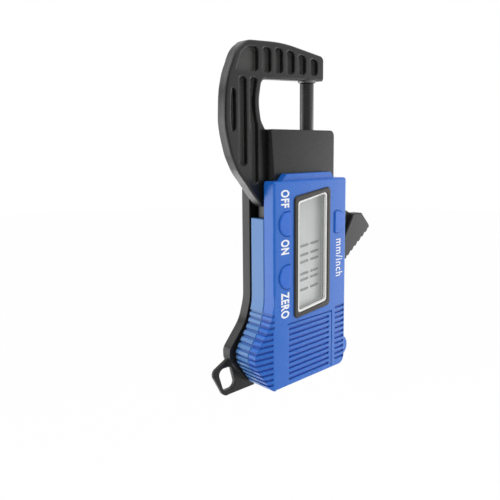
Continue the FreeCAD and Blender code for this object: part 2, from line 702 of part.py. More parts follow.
def back_cover():
    """The black back: band, bulge with the battery bay, and lanyard loop."""
    face = body_outline(BAND_TOP, BAND_EXTRA)
    band = slab(face, BAND_FRONT, BAND_BACK)
    band = band.makeFillet(EDGE_R, edges_at(band, BAND_BACK))
    rim = slab(inset(body_outline(SHELL_TOP, 0.0), EDGE_R), SHELL_BACK, BAND_FRONT)
    cover = band.fuse([rim, bulge(), loop_plate()])
    hollow = slab(inset(body_outline(SHELL_TOP, 0.0), WALL + EDGE_R), SHELL_BACK - 1, BAND_BACK - WALL)
    opening = box(WALL + EDGE_R, BODY_W - WALL - EDGE_R, SHELL_BACK - 1, BAND_FRONT,
                  SHELL_TOP - 2 * WALL - EDGE_R, SHELL_TOP + 1)
    cover = cover.cut([hollow, opening])
    adds = [rod_y(CELL_X, CELL_Z, BAY_R + BAY_WALL, BAND_FRONT, BAND_BACK)]
    for x in (CASE_LEFT_X, CASE_RIGHT_X):
        adds.append(rod_y(x, CASE_LOW_Z, BOSS_R + SEAM, SHELL_BACK, BAND_BACK - SEAM))
    cover = cover.fuse(adds).removeSplitter()
    door = rounded_box(CELL_X - DOOR_HALF_W, CELL_X + DOOR_HALF_W, BULGE_BACK - DOOR_T - DOOR_SINK,
                       BULGE_BACK + 1, CELL_Z - DOOR_HALF_H, CELL_Z + DOOR_HALF_H, DOOR_R)
    cuts = [rod_y(CELL_X, CELL_Z, BAY_R, BAY_FLOOR, BULGE_BACK), door, loop_hole()]
    for x, z, back in case_screw_places():
        cuts.append(rod_y(x, z, SCREW_R, 0, BAND_BACK + 1))
        cuts.append(rod_y(x, z, SCREW_HEAD_R + SEAM / 3, BAND_BACK - SCREW_HEAD_T - SCREW_SINK,
                          BAND_BACK + 1))
    return cover.cut(cuts)


def case_screw_places():
    """Where the case screws stand, with the depth at which their bosses in the cover end."""
    return [(CASE_LEFT_X, CASE_LOW_Z, COVER_BACK), (CASE_RIGHT_X, CASE_LOW_Z, COVER_BACK),
            (CASE_LEFT_X, CASE_TOP_Z, BLOCK_FRONT), (CASE_TOP_RIGHT_X, CASE_TOP_Z, BLOCK_FRONT)]


def screw(x, z, r, head_r, head_t, tip, seat):
    """A screw driven from the back, with a cross recess."""
    head = rod_y(x, z, head_r, seat, seat + head_t)
    head = head.makeChamfer(head_t / 3, edges_at(head, seat + head_t))
    depth = head_t * RECESS_T
    cross = [box(x - head_r * RECESS_T, x + head_r * RECESS_T, seat + head_t - depth,
                 seat + head_t + 1, z - head_r * RECESS_ARM / 2, z + head_r * RECESS_ARM / 2),
             box(x - head_r * RECESS_ARM / 2, x + head_r * RECESS_ARM / 2, seat + head_t - depth,
                 seat + head_t + 1, z - head_r * RECESS_T, z + head_r * RECESS_T)]
    return head.fuse(rod_y(x, z, r, tip, seat)).cut(cross)


def case_screws():
    """The four screws that hold the housing together."""
    seat = BAND_BACK - SCREW_HEAD_T - SCREW_SINK
    return Part.makeCompound([screw(x, z, SCREW_R, SCREW_HEAD_R, SCREW_HEAD_T, SCREW_TIP_Y, seat)
                              for x, z, back in case_screw_places()])


def board_screws():
    """The two small screws of the circuit board."""
    return Part.makeCompound([screw(x, BOARD_SCREW_Z, BOARD_SCREW_R, BOARD_SCREW_HEAD_R,
                                    BOARD_SCREW_HEAD_T, WALL, BOARD_BACK)
                              for x in (CASE_LEFT_X, CASE_RIGHT_X)])


def display_bezel():
    """The dark rim of the display with a flange behind the cover and a ledge for the window."""
    rim = slab(display_face(0.0), -BEZEL_PROUD, WALL)
    rim = rim.makeChamfer(BEZEL_PROUD * RECESS_T, edges_at(rim, -BEZEL_PROUD))
    flange = slab(display_face(-FLANGE_W), WALL, FLANGE_BACK)
    seat = slab(display_face(BEZEL_W), -1, LENS_BACK)
    hole = slab(display_face(BEZEL_W + FRAME_W + LEDGE_W), 0, FLANGE_BACK + 1)
    return rim.fuse(flange).removeSplitter().cut([seat, hole])


def window_frame():
    """The pale line round the window."""
    ring = slab(display_face(BEZEL_W), FRAME_FRONT, LENS_BACK)
    return ring.cut(slab(display_face(BEZEL_W + FRAME_W), -1, LENS_BACK + 1))


def display_lens():
    """The clear window."""
    return slab(display_face(BEZEL_W + FRAME_W), LENS_FRONT, LENS_BACK)


def lcd_panel():
    """The display cell, pressed against the back of the bezel."""
    return slab(display_face(BEZEL_W), FLANGE_BACK, LCD_BACK)


def contact_strips():
    """The two rubber strips between the display cell and the board."""
    low = DISPLAY_LOW_RIGHT_Z + 2 * BEZEL_W
    top = DISPLAY_TOP_LEFT_Z - 4 * BEZEL_W
    left = DISPLAY_LEFT + 2 * BEZEL_W
    right = DISPLAY_RIGHT - 2 * BEZEL_W
    return Part.makeCompound([box(left, left + STRIP_T, LCD_BACK, BOARD_FRONT, low, top),
                              box(right - STRIP_T, right, LCD_BACK, BOARD_FRONT, low, top)])


def circuit_board():
    """The board that carries the scale and the switches."""
    board = rounded_box(BOARD_SIDE, BODY_W - BOARD_SIDE, BOARD_FRONT, BOARD_BACK, BOARD_LOW_Z,
                        BOARD_TOP_Z, SLOT_R)
    return board.cut([rod_y(x, BOARD_SCREW_Z, BOARD_SCREW_R, 0, SHELL_BACK)
                      for x in (CASE_LEFT_X, CASE_RIGHT_X)])


def processor_chip():
    """The chip on the back of the board, with a pin 1 dimple."""
    chip = box(CHIP_LEFT, CHIP_LEFT + CHIP_W, BOARD_BACK, BOARD_BACK + CHIP_T, CHIP_LOW_Z,
               CHIP_LOW_Z + CHIP_H)
    return chip.cut(rod_y(CHIP_LEFT + 1, CHIP_LOW_Z + CHIP_H - 1, RECESS_ARM,
                          BOARD_BACK + CHIP_T / 2, BOARD_BACK + 2 * CHIP_T))


def scale_strip():
    """The fixed scale on the back of the board that the reader plate passes."""
    return box(SCALE_LEFT, SCALE_RIGHT, BOARD_BACK, BOARD_BACK + SCALE_T, SCALE_LOW_Z, SCALE_TOP_Z)


def button_centre(flat_x, side):
    """The x of the middle of a button."""
    return flat_x + side * BUTTON_W / 2


def switch_domes():
    """The three spring domes on the board under the buttons."""
    domes = []
    for x, z in ((button_centre(LEFT_FLAT_X, -1), ON_OFF_Z), (button_centre(LEFT_FLAT_X, -1), ZERO_Z),
                 (button_centre(RIGHT_FLAT_X, 1), UNIT_Z)):
        domes.append(Part.makeCone(DOME_R, DOME_TOP_R, DOME_T, V(x, BOARD_FRONT, z), V(0, -1, 0)))
    return Part.makeCompound(domes)


def button(flat_x, z, side):
    """A button with a broken top edge and a flange behind the cover."""
    top = button_slab(flat_x, z, side, 0.0, -BUTTON_PROUD, WALL)
    top = top.makeChamfer(BUTTON_R, edges_at(top, -BUTTON_PROUD))
    flange = button_slab(flat_x, z, side, BUTTON_FLANGE, WALL + BUTTON_GAP / 4, WALL + BUTTON_FLANGE_T)
    room = box(WALL + BUTTON_GAP, BODY_W - WALL - BUTTON_GAP, 0, COVER_BACK, 0, BODY_H)
    neck = button_slab(flat_x, z, side, 0.0, WALL, WALL + BUTTON_GAP)
    return top.fuse([flange.common(room), neck]).removeSplitter()


def spindle():
    """The moving rod with its measuring tip and a thinner shank in the carriage."""
    rod = rod_z(AXIS_X, AXIS_Y, SPINDLE_R, CAR_TOP_Z, ANVIL_Z)
    rims = [e for e in rod.Edges if abs(e.BoundBox.ZMin - ANVIL_Z) < CHAMFER / 10]
    rod = rod.makeChamfer(CHAMFER, rims)
    return rod.fuse(rod_z(AXIS_X, AXIS_Y, SHANK_R, CAR_LOW_Z + WALL, CAR_TOP_Z)).removeSplitter()


def carriage():
    """The block that joins spindle, lever and reader plate and slides on the guide rod."""
    block = rounded_box(CAR_LEFT, CAR_RIGHT, CAR_FRONT, CAR_BACK, CAR_LOW_Z, CAR_TOP_Z, SLOT_R)
    return block.cut([
        rod_z(ROD_X, AXIS_Y, ROD_R + RUN_CLEAR, CAR_LOW_Z - 1, CAR_TOP_Z + 1),
        rod_z(AXIS_X, AXIS_Y, SHANK_R, CAR_LOW_Z + WALL, CAR_TOP_Z + 1),
        rod_y(AXIS_X, GRUB_Z, GRUB_R, AXIS_Y + SHANK_R, CAR_BACK + 1),
        rod_y(LEVER_SCREW_X, LEVER_SCREW_Z, BOARD_SCREW_R, CAR_FRONT - 1, AXIS_Y),
    ])


def clamp_screw():
    """The headless screw that holds the spindle in the carriage."""
    grub = rod_y(AXIS_X, GRUB_Z, GRUB_R, AXIS_Y + SHANK_R, CAR_BACK)
    return grub.cut(box(AXIS_X - GRUB_R, AXIS_X + GRUB_R, CAR_BACK - RECESS_ARM, CAR_BACK + 1,
                        GRUB_Z - RECESS_ARM / 2, GRUB_Z + RECESS_ARM / 2))


def reader_plate():
    """The small board on the carriage that reads the scale."""
    return box(CAR_LEFT, READER_RIGHT, READER_FRONT, CAR_FRONT, READER_LOW_Z, CAR_TOP_Z)


def lever_teeth():
    """Round notches along the lower edge of the lever."""
    teeth = []
    for k in range(LEVER_TEETH):
        t = (k + RECESS_T) / LEVER_TEETH
        x = LEVER_BEAK[0] + t * (LEVER_LOW[0] - LEVER_BEAK[0])
        z = LEVER_BEAK[1] + t * (LEVER_LOW[1] - LEVER_BEAK[1])
        teeth.append(rod_y(x, z, TOOTH_R, LEVER_FRONT - 1, LEVER_BACK + 1))
    return teeth


def thumb_lever():
    """The black lever on the right side: set-back web, thumb pad and tang inside the housing."""
    tail = [LEVER_TOP, LEVER_BEAK, LEVER_LOW, (LEVER_LEFT, LEVER_BOTTOM_Z, 0.0)]
    web = slab(rounded_outline([(LEVER_LEFT, WEB_TOP_Z, 0.0), LEVER_NOTCH] + tail), WEB_FRONT, LEVER_BACK)
    pad = slab(rounded_outline([(LEVER_LEFT, PAD_EDGE_Z, 0.0), LEVER_NOTCH] + tail), LEVER_FRONT,
               LEVER_BACK)
    pad = pad.makeChamfer(EDGE_ROUND, edges_at(pad, LEVER_FRONT))
    tang = box(TANG_LEFT, TANG_RIGHT, TANG_FRONT, CAR_FRONT, TANG_LOW_Z, TANG_TOP_Z)
    lever = pad.fuse([web, tang]).removeSplitter().cut(lever_teeth())
    return lever.cut(rod_y(LEVER_SCREW_X, LEVER_SCREW_Z, BOARD_SCREW_R, 0, CAR_BACK))


def lever_screw():
    """The screw that holds the lever on the carriage, driven from the front."""
    made = screw(LEVER_SCREW_X, LEVER_SCREW_Z, BOARD_SCREW_R, BOARD_SCREW_HEAD_R,
                 BOARD_SCREW_HEAD_T / 2, -AXIS_Y, -TANG_FRONT)
    return made.mirror(V(0, 0, 0), V(0, 1, 0))


def battery():
    """The button cell."""
    cell = rod_y(CELL_X, CELL_Z, CELL_R, CELL_FRONT + CELL_RIM, CELL_FRONT + CELL_T)
    cell = cell.makeChamfer(CELL_RIM, edges_at(cell, CELL_FRONT + CELL_T))
    return cell.fuse(rod_y(CELL_X, CELL_Z, CELL_R - 2 * CELL_RIM, CELL_FRONT, CELL_FRONT + CELL_RIM))


def minus_contact():
    """The leaf on the floor of the bay with a raised dimple."""
    leaf = rod_y(CELL_X, CELL_Z, LEAF_R, BAY_FLOOR, BAY_FLOOR + LEAF_T)
    return leaf.fuse(rod_y(CELL_X, CELL_Z, LEAF_DOME_R, BAY_FLOOR, CELL_FRONT))


def plus_contact():
    """The strip on the wall of the bay that touches the side of the cell."""
    ring = rod_y(CELL_X, CELL_Z, BAY_R, BAY_FLOOR + LEAF_T, CELL_FRONT + CELL_T - CELL_RIM)
    ring = ring.cut(rod_y(CELL_X, CELL_Z, BAY_R - LEAF_T, 0, BULGE_BACK))
    return ring.common(box(CELL_X, CELL_X + 2 * BAY_R, 0, BULGE_BACK, CELL_Z - LEAF_R, CELL_Z + LEAF_R))


def battery_door():
    """The door over the bay, with grip bars."""
    gap = DOOR_GAP
    back = BULGE_BACK - DOOR_SINK
    door = rounded_box(CELL_X - DOOR_HALF_W + gap, CELL_X + DOOR_HALF_W - gap, back - DOOR_T, back,
                       CELL_Z - DOOR_HALF_H + gap, CELL_Z + DOOR_HALF_H - gap, DOOR_R - gap)
    cuts = []
    for k in range(DOOR_GRIPS):
        z = CELL_Z + DOOR_HALF_H - (k + 2) * GROOVE_H * 2
        cuts.append(box(CELL_X - DOOR_HALF_W / 2, CELL_X + DOOR_HALF_W / 2, back - DOOR_T / 2,
                        back + 1, z, z + GROOVE_H))
    return door.cut(cuts)


def save(name, shape):
    """Move a node to the row frame and write it."""
    placed = shape.copy()
    placed.translate(V(-AXIS_X, -AXIS_Y, -ANVIL_Z))
    placed.exportStep("parts/" + name + ".step")


def main():
    """Build every node and write it."""
    os.makedirs("parts", exist_ok=True)
    nodes = {
        "frame": frame(),
        "nose_block": nose_block(),
        "anvil": anvil(),
        "upper_bush": bush(BLOCK_TOP_Z - BUSH_L),
        "lower_bush": bush(BLOCK_LOW_Z),
        "guide_rod": guide_rod(),
        "spring_post": spring_post(),
        "return_spring": return_spring(),
        "front_cover": front_cover(),
        "middle_shell": middle_shell(),
        "back_cover": back_cover(),
        "case_screws": case_screws(),
        "display_bezel": display_bezel(),
        "window_frame": window_frame(),
        "display_lens": display_lens(),
        "lcd_panel": lcd_panel(),
        "contact_strips": contact_strips(),
        "circuit_board": circuit_board(),
        "processor_chip": processor_chip(),
        "scale_strip": scale_strip(),
        "switch_domes": switch_domes(),
        "board_screws": board_screws(),
        "on_off_button": button(LEFT_FLAT_X, ON_OFF_Z, -1),
        "zero_button": button(LEFT_FLAT_X, ZERO_Z, -1),
        "unit_button": button(RIGHT_FLAT_X, UNIT_Z, 1),
        "spindle": spindle(),
        "carriage": carriage(),
        "clamp_screw": clamp_screw(),
        "reader_plate": reader_plate(),
        "thumb_lever": thumb_lever(),
        "lever_screw": lever_screw(),
        "battery": battery(),
        "battery_minus_contact": minus_contact(),
        "battery_plus_contact": plus_contact(),
        "battery_door": battery_door(),
    }
    for name, shape in nodes.items():
        save(name, shape)


main()
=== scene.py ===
import logging
import math
from dataclasses import dataclass, field
from enum import Enum
from typing import Any, Optional, Union

import bmesh
import bpy
from mathutils import Matrix, Vector


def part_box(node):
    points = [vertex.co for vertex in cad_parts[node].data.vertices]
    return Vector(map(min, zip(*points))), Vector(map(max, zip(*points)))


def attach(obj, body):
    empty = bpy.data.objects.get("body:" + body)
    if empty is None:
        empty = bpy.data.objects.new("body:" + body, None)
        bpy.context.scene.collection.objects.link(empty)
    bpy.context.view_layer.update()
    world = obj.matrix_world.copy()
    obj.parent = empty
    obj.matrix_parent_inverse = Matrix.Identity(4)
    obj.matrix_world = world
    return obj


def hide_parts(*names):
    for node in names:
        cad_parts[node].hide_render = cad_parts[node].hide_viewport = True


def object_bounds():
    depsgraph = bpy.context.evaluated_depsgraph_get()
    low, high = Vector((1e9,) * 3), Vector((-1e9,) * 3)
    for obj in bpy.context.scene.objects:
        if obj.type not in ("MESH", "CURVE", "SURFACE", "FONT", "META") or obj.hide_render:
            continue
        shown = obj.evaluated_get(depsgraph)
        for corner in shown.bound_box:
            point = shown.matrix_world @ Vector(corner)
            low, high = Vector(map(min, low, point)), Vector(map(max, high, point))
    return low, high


# The looks of a digital thickness gauge, built around its solids, in metres.
# Places on the gauge are written in millimetres from the housing's lower left front corner:
# x to the right, y back, z up. The function at() turns them into the shared frame.

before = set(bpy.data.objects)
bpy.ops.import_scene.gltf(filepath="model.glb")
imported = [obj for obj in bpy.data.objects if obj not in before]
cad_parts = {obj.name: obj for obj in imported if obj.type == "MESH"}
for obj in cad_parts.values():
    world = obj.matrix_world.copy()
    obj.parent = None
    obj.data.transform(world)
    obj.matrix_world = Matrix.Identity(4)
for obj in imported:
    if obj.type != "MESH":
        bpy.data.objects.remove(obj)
CAD_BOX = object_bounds()

MM = 0.001
HOUSING_CORNER = Vector((-23.1, -8.0, -98.6)) * MM

log = logging.getLogger("gauge")

Triple = tuple[float, float, float]
Colour = Triple
Reach = tuple[float, float]
Settings = Optional[dict[str, Any]]
Sockets = Optional[dict[Union[int, str], Any]]

EVEN: Triple = (1.0, 1.0, 1.0)
WHITE: Colour = (1.0, 1.0, 1.0)
# The middle of a noise pattern, and how many finer layers the finest patterns have.
MEAN = 0.5
GRAIN_LAYERS = 2.0
SCRATCH_LAYERS = 4.0
# Rays of a shader that rounds edges, and the turn at which an edge starts and is full.
EDGE_RAYS = 6
EDGE_REACH: Reach = (0.02, 0.3)
# A wave texture of scale 1 turns by this angle per metre.
WAVE_TURN = 20.0
# Points nearer than this are one, and faces that turn by less than this are one.
WELD = 0.001 * MM
FLAT_TURN = math.radians(0.8)


def at(x: float, y: float, z: float) -> Vector:
    """The point of the shared frame for a place on the housing in millimetres."""
    return HOUSING_CORNER + Vector((x, y, z)) * MM


def tint(red: int, green: int, blue: int) -> Colour:
    """A colour as seen on a screen, from 0 to 255, turned into the light it stands for."""
    def light(value: int) -> float:
        """One channel of the colour."""
        share = value / 255
        return share / 12.92 if share <= 0.04045 else ((share + 0.055) / 1.055) ** 2.4
    return (light(red), light(green), light(blue))


class Body(Enum):
    """The bodies that move apart from each other."""

    HOUSING = "housing"
    SLIDE = "measuring_slide"
    ON_OFF = "on_off_key"
    ZERO = "zero_key"
    UNIT = "unit_key"
    DOOR = "door"


class Channel(Enum):
    """The sockets that a pattern may feed."""

    COLOUR = "Base Color"
    ROUGHNESS = "Roughness"
    METALLIC = "Metallic"
    ALPHA = "Alpha"
    NORMAL = "Normal"


class Signal:
    """A shader socket that takes part in sums written as Python."""

    def __init__(self, recipe: "Recipe", socket: bpy.types.NodeSocket) -> None:
        """Hold the socket and the recipe that it belongs to."""
        self.recipe = recipe
        self.socket = socket

    def _sum(self, operation: str, first: Any, second: Any) -> "Signal":
        """One Math node on two values."""
        node = self.recipe.node("ShaderNodeMath", {"operation": operation}, {0: first, 1: second})
        return Signal(self.recipe, node.outputs[0])

    def __add__(self, other: Any) -> "Signal":
        """Sum of this and another value."""
        return self._sum("ADD", self, other)

    __radd__ = __add__

    def __sub__(self, other: Any) -> "Signal":
        """This less another value."""
        return self._sum("SUBTRACT", self, other)

    def __rsub__(self, other: Any) -> "Signal":
        """Another value less this."""
        return self._sum("SUBTRACT", other, self)

    def __mul__(self, other: Any) -> "Signal":
        """Product of this and another value."""
        return self._sum("MULTIPLY", self, other)

    __rmul__ = __mul__

    def __truediv__(self, other: Any) -> "Signal":
        """This over another value."""
        return self._sum("DIVIDE", self, other)

    def __rtruediv__(self, other: Any) -> "Signal":
        """Another value over this."""
        return self._sum("DIVIDE", other, self)

    def between(self, low: float, high: float) -> "Signal":
        """This stretched so that low becomes 0 and high becomes 1, with a soft start and end.

        Args:
            low: The value that becomes 0.
            high: The value that becomes 1.

        Returns:
            The stretched value.
        """
        node = self.recipe.node("ShaderNodeMapRange", {"interpolation_type": "SMOOTHSTEP"},
                                {0: self, 1: low, 2: high})
        return Signal(self.recipe, node.outputs[0])

    def swing(self, reach: float) -> "Signal":
        """This folded to and fro between 0 and a reach."""
        return self._sum("PINGPONG", self, reach)


class Recipe:
    """The nodes of one material."""

    def __init__(self, name: str) -> None:
        """Start an empty material with one surface shader.

        Args:
            name: The material's name.
        """
        self.material = bpy.data.materials.new(name)
        self.material.use_nodes = True
        self.tree = self.material.node_tree
        self.tree.nodes.clear()
        self.output = self.node("ShaderNodeOutputMaterial")
        self.surface = self.node("ShaderNodeBsdfPrincipled")
        self.tree.links.new(self.surface.outputs[0], self.output.inputs[0])

    def node(self, kind: str, settings: Settings = None, sockets: Sockets = None) -> bpy.types.Node:
        """Add one node.

        Args:
            kind: The node's type.
            settings: Its own settings, set first.
            sockets: Values or links of its input sockets, by place or name.

        Returns:
            The new node.
        """
        made = self.tree.nodes.new(kind)
        for key, value in (settings or {}).items():
            setattr(made, key, value)
        for key, value in (sockets or {}).items():
            target = made.inputs[key]
            if isinstance(value, Signal):
                self.tree.links.new(value.socket, target)
            elif isinstance(value, tuple) and len(value) == 3 and target.type == "RGBA":
                target.default_value = (*value, 1.0)
            else:
                target.default_value = value
        return made

    def read(self, kind: str, output: Union[int, str], settings: Settings = None,
             sockets: Sockets = None) -> Signal:
        """Add one node and take one of its outputs."""
        return Signal(self, self.node(kind, settings, sockets).outputs[output])

    def place(self, stretch: Triple = EVEN) -> Signal:
        """The point on the object, in metres, stretched along each axis."""
        point = self.read("ShaderNodeTexCoord", "Object")
        if stretch == EVEN:
            return point
        return self.read("ShaderNodeMapping", 0, {}, {"Vector": point, "Scale": stretch})

    def axis(self, letter: str) -> Signal:
        """One coordinate of the point on the object, in metres."""
        return self.read("ShaderNodeSeparateXYZ", letter, {}, {0: self.place()})

    def noise(self, size: float, detail: float = 3.0, stretch: Triple = EVEN) -> Signal:
        """Soft random spots from 0 to 1.

        Args:
            size: The size of a spot in metres.
            detail: How many finer layers are added.
            stretch: How much the pattern is squeezed along each axis.

        Returns:
            The strength of the pattern.
        """
        return self.read("ShaderNodeTexNoise", 0, {}, {
            "Vector": self.place(stretch), "Scale": 1 / size, "Detail": detail})

    def edges(self, radius: float) -> Signal:
        """1 on outer and inner edges, 0 on plain faces."""
        rounded = self.read("ShaderNodeBevel", 0, {"samples": EDGE_RAYS}, {0: radius})
        flat = self.read("ShaderNodeNewGeometry", "Normal")
        match = self.read("ShaderNodeVectorMath", "Value", {"operation": "DOT_PRODUCT"},
                          {0: rounded, 1: flat})
        return (1 - match).between(*EDGE_REACH)

    def blend(self, share: Any, low: Any, high: Any) -> Signal:
        """A colour between two colours."""
        return self.read("ShaderNodeMix", 2, {"data_type": "RGBA"}, {0: share, 6: low, 7: high})

    def relief(self, height: Signal, depth: float, rounding: float = 0.0) -> None:
        """Small relief on the surface.

        Args:
            height: The pattern, from 0 to 1.
            depth: How high the pattern stands, in metres.
            rounding: The radius by which edges look rounded, in metres.
        """
        sockets: Sockets = {"Height": height, "Distance": depth, "Strength": 1.0}
        if rounding:
            sockets["Normal"] = self.read("ShaderNodeBevel", 0, {"samples": EDGE_RAYS}, {0: rounding})
        self.feed(Channel.NORMAL, self.read("ShaderNodeBump", 0, {}, sockets))

    def feed(self, channel: Channel, value: Signal) -> None:
        """Link a pattern to one of the surface's sockets."""
        self.tree.links.new(value.socket, self.surface.inputs[channel.value])

    def fix(self, **values: Any) -> None:
        """Set sockets that are the same all over. Underscores stand for spaces."""
        for key, value in values.items():
            target = self.surface.inputs[key.replace("_", " ")]
            target.default_value = (*value, 1.0) if isinstance(value, tuple) else value


class SkyRecipe(Recipe):
    """The nodes of the surroundings."""

    def __init__(self, name: str) -> None:
        """Start empty surroundings.

        Args:
            name: The name of the surroundings.
        """
        self.world = bpy.data.worlds.new(name)
        self.world.use_nodes = True
        self.tree = self.world.node_tree
        self.tree.nodes.clear()


@dataclass(frozen=True)
class SideGrooveShade:
    """Painted shade in the level grooves round the flare: a darker tint where the grooves lie. Sizes
    are in millimetres.
    """

    tint: Colour
    first: float = 2.3
    pitch: float = 1.87
    half: float = 0.4
    fade_in: float = 0.14
    fade_out: float = 0.04
    right: float = -0.3
    right_fade: float = 0.3
    top: float = 25.6
    top_fade: float = 0.1
    share: float = 0.7

    def lay(self, mix: Recipe, tone: Signal) -> Signal:
        """Paint shade into the grooves as a darker tint.

        Args:
            mix: The material's nodes.
            tone: The colour so far.

        Returns:
            The new colour.
        """
        low, side = at(0.0, 0.0, self.first), at(self.right, 0.0, self.top)
        up = mix.axis("Z")
        away = (up - low.z).swing(self.pitch * MM / 2)
        inside = 1 - away.between((self.half - self.fade_in) * MM, (self.half + self.fade_out) * MM)
        left = 1 - mix.axis("X").between(side.x - self.right_fade * MM, side.x)
        below = 1 - up.between(side.z, side.z + self.top_fade * MM)
        return mix.blend(inside * left * below * self.share, tone, self.tint)


@dataclass(frozen=True)
class MouldedPlastic:
    """Moulded plastic with a fine eroded grain, faint flow marks, edges made paler partly by wear and
    partly as a painted highlight, and a tint of painted light and shade for pocket floors, a deep
    wall and grooves.

    Sizes and places are in metres. A reach says where a pattern starts and where it is full.
    """

    name: str
    colour: Colour
    pale: Colour
    roughness: float = 0.3
    grain: float = 0.00016
    depth: float = 0.000003
    drift: float = 0.12
    edge_wear_and_highlight: float = 0.35
    rounding: float = 0.0003
    ior: float = 1.5
    flow_size: float = 0.012
    flow_stretch: Triple = (1.0, 1.0, 0.4)
    wear_size: float = 0.003
    wear_reach: Reach = (0.35, 0.75)
    scratch_size: float = 0.0006
    scratch_stretch: Triple = (0.12, 1.0, 1.6)
    scratch_reach: Reach = (0.62, 0.72)
    scratch_share: float = 0.03
    grain_gloss: float = 0.14
    flow_gloss: float = 0.12
    scratch_gloss: float = 0.05
    # Painted light and shade: the tint below goes on pocket floors at these depths, on walls behind a
    # depth and into grooves, in place of light and shade there.
    pocket_floors: tuple[float, ...] = ()
    floor_reach: float = 0.00012
    floor_fade: float = 0.4
    painted_shading_tint: Colour = (0.1, 0.1, 0.1)
    floor_from: Optional[float] = None
    behind: Optional[float] = None
    fade: float = 0.0001
    grooves: Optional[SideGrooveShade] = None

    def pocketed(self, mix: Recipe, tone: Signal) -> Signal:
        """The colour with painted light and shade: another tint on the floors of pockets, behind a
        depth and in grooves.

        Args:
            mix: The material's nodes.
            tone: The colour so far.

        Returns:
            The new colour.
        """
        # Painted light and shade on pocket floors and deep walls, not a colour of the plastic.
        for place in self.pocket_floors:
            away = (mix.axis("Y") - place) / self.floor_reach
            inside = (1 - away * away).between(0.0, self.floor_fade)
            if self.floor_from is not None:
                beyond = mix.axis("X").between(self.floor_from, self.floor_from + 2 * self.fade)
                inside = inside * beyond
            tone = mix.blend(inside, tone, self.painted_shading_tint)
        if self.behind is not None:
            deep = mix.axis("Y").between(self.behind, self.behind + self.fade)
            tone = mix.blend(deep, tone, self.painted_shading_tint)
        return self.grooves.lay(mix, tone) if self.grooves else tone

    def make(self) -> bpy.types.Material:
        """Build the material."""
        mix = Recipe(self.name)
        flow = mix.noise(self.flow_size, stretch=self.flow_stretch)
        grain = mix.noise(self.grain, GRAIN_LAYERS)
        wear = mix.noise(self.wear_size).between(*self.wear_reach)
        # Paler edges: partly patchy wear, partly a painted highlight along the edges.
        worn_and_highlit_edges = mix.edges(self.rounding) * wear * self.edge_wear_and_highlight
        scratch = mix.noise(self.scratch_size, SCRATCH_LAYERS,
                            self.scratch_stretch).between(*self.scratch_reach)
        tone = mix.blend(flow * self.drift + worn_and_highlit_edges + scratch * self.scratch_share,
                         self.colour, self.pale)
        mix.feed(Channel.COLOUR, self.pocketed(mix, tone))
        mix.feed(Channel.ROUGHNESS, self.roughness + (grain - MEAN) * self.grain_gloss
                 + (flow - MEAN) * self.flow_gloss - scratch * self.scratch_gloss)
        mix.relief(grain, self.depth, self.rounding)
        mix.fix(IOR=self.ior)
        return mix.material


@dataclass(frozen=True)
class TurnedMetal:
    """Ground or turned metal with fine rings round its length. Sizes are in metres."""

    name: str
    colour: Colour
    roughness: float = 0.28
    metallic: float = 1.0
    ring_size: float = 0.0002
    ring_stretch: Triple = (0.05, 0.05, 1.0)
    ring_share: float = 0.2
    ring_gloss: float = 0.16
    ring_depth: float = 0.000004
    stain_size: float = 0.004
    stain_share: float = 0.5
    stain_gloss: float = 0.1
    dark_share: float = 0.55
    rounding: float = 0.00008

    def make(self) -> bpy.types.Material:
        """Build the material."""
        mix = Recipe(self.name)
        rings = mix.noise(self.ring_size, stretch=self.ring_stretch)
        stain = mix.noise(self.stain_size)
        dark = tuple(c * self.dark_share for c in self.colour)
        mix.feed(Channel.COLOUR, mix.blend(stain * self.stain_share + rings * self.ring_share,
                                           self.colour, dark))
        mix.feed(Channel.ROUGHNESS, self.roughness + rings * self.ring_gloss
                 + (stain - MEAN) * self.stain_gloss)
        mix.relief(rings, self.ring_depth, self.rounding)
        mix.fix(Metallic=self.metallic)
        return mix.material


@dataclass(frozen=True)
class PressedMetal:
    """Thin plated metal with a light orange-peel and small stains. Sizes are in metres."""

    name: str
    colour: Colour
    roughness: float = 0.25
    peel_size: float = 0.0005
    peel_gloss: float = 0.08
    peel_depth: float = 0.000006
    stain_size: float = 0.002
    stain_reach: Reach = (0.4, 0.8)
    stain_share: float = 0.6
    stain_gloss: float = 0.15
    dull_share: float = 0.6
    rounding: float = 0.00006

    def make(self) -> bpy.types.Material:
        """Build the material."""
        mix = Recipe(self.name)
        peel = mix.noise(self.peel_size)
        stain = mix.noise(self.stain_size, SCRATCH_LAYERS)
        dull = tuple(c * self.dull_share for c in self.colour)
        mix.feed(Channel.COLOUR, mix.blend(stain.between(*self.stain_reach) * self.stain_share,
                                           self.colour, dull))
        mix.feed(Channel.ROUGHNESS, self.roughness + stain * self.stain_gloss
                 + peel * self.peel_gloss)
        mix.relief(peel, self.peel_depth, self.rounding)
        mix.fix(Metallic=1.0)
        return mix.material


@dataclass(frozen=True)
class ClearWindow:
    """Clear plastic over the display, with a few hairline scratches. Sizes are in metres."""

    name: str
    colour: Colour
    hazy: Colour
    alpha: float = 0.1
    roughness: float = 0.1
    hair_size: float = 0.0005
    hair_stretch: Triple = (0.3, 1.0, 1.4)
    hair_reach: Reach = (0.66, 0.72)
    hair_cover: float = 0.03
    hair_gloss: float = 0.2
    haze_size: float = 0.006
    haze_cover: float = 0.04
    haze_gloss: float = 0.06
    haze_depth: float = 0.000004
    ior: float = 1.49

    def make(self) -> bpy.types.Material:
        """Build the material."""
        mix = Recipe(self.name)
        hair = mix.noise(self.hair_size, SCRATCH_LAYERS, self.hair_stretch).between(*self.hair_reach)
        haze = mix.noise(self.haze_size)
        mix.feed(Channel.ALPHA, self.alpha + hair * self.hair_cover + haze * self.haze_cover)
        mix.feed(Channel.ROUGHNESS, self.roughness + hair * self.hair_gloss + haze * self.haze_gloss)
        mix.feed(Channel.COLOUR, mix.blend(haze, self.colour, self.hazy))
        mix.relief(haze, self.haze_depth)
        mix.fix(IOR=self.ior)
        return mix.material


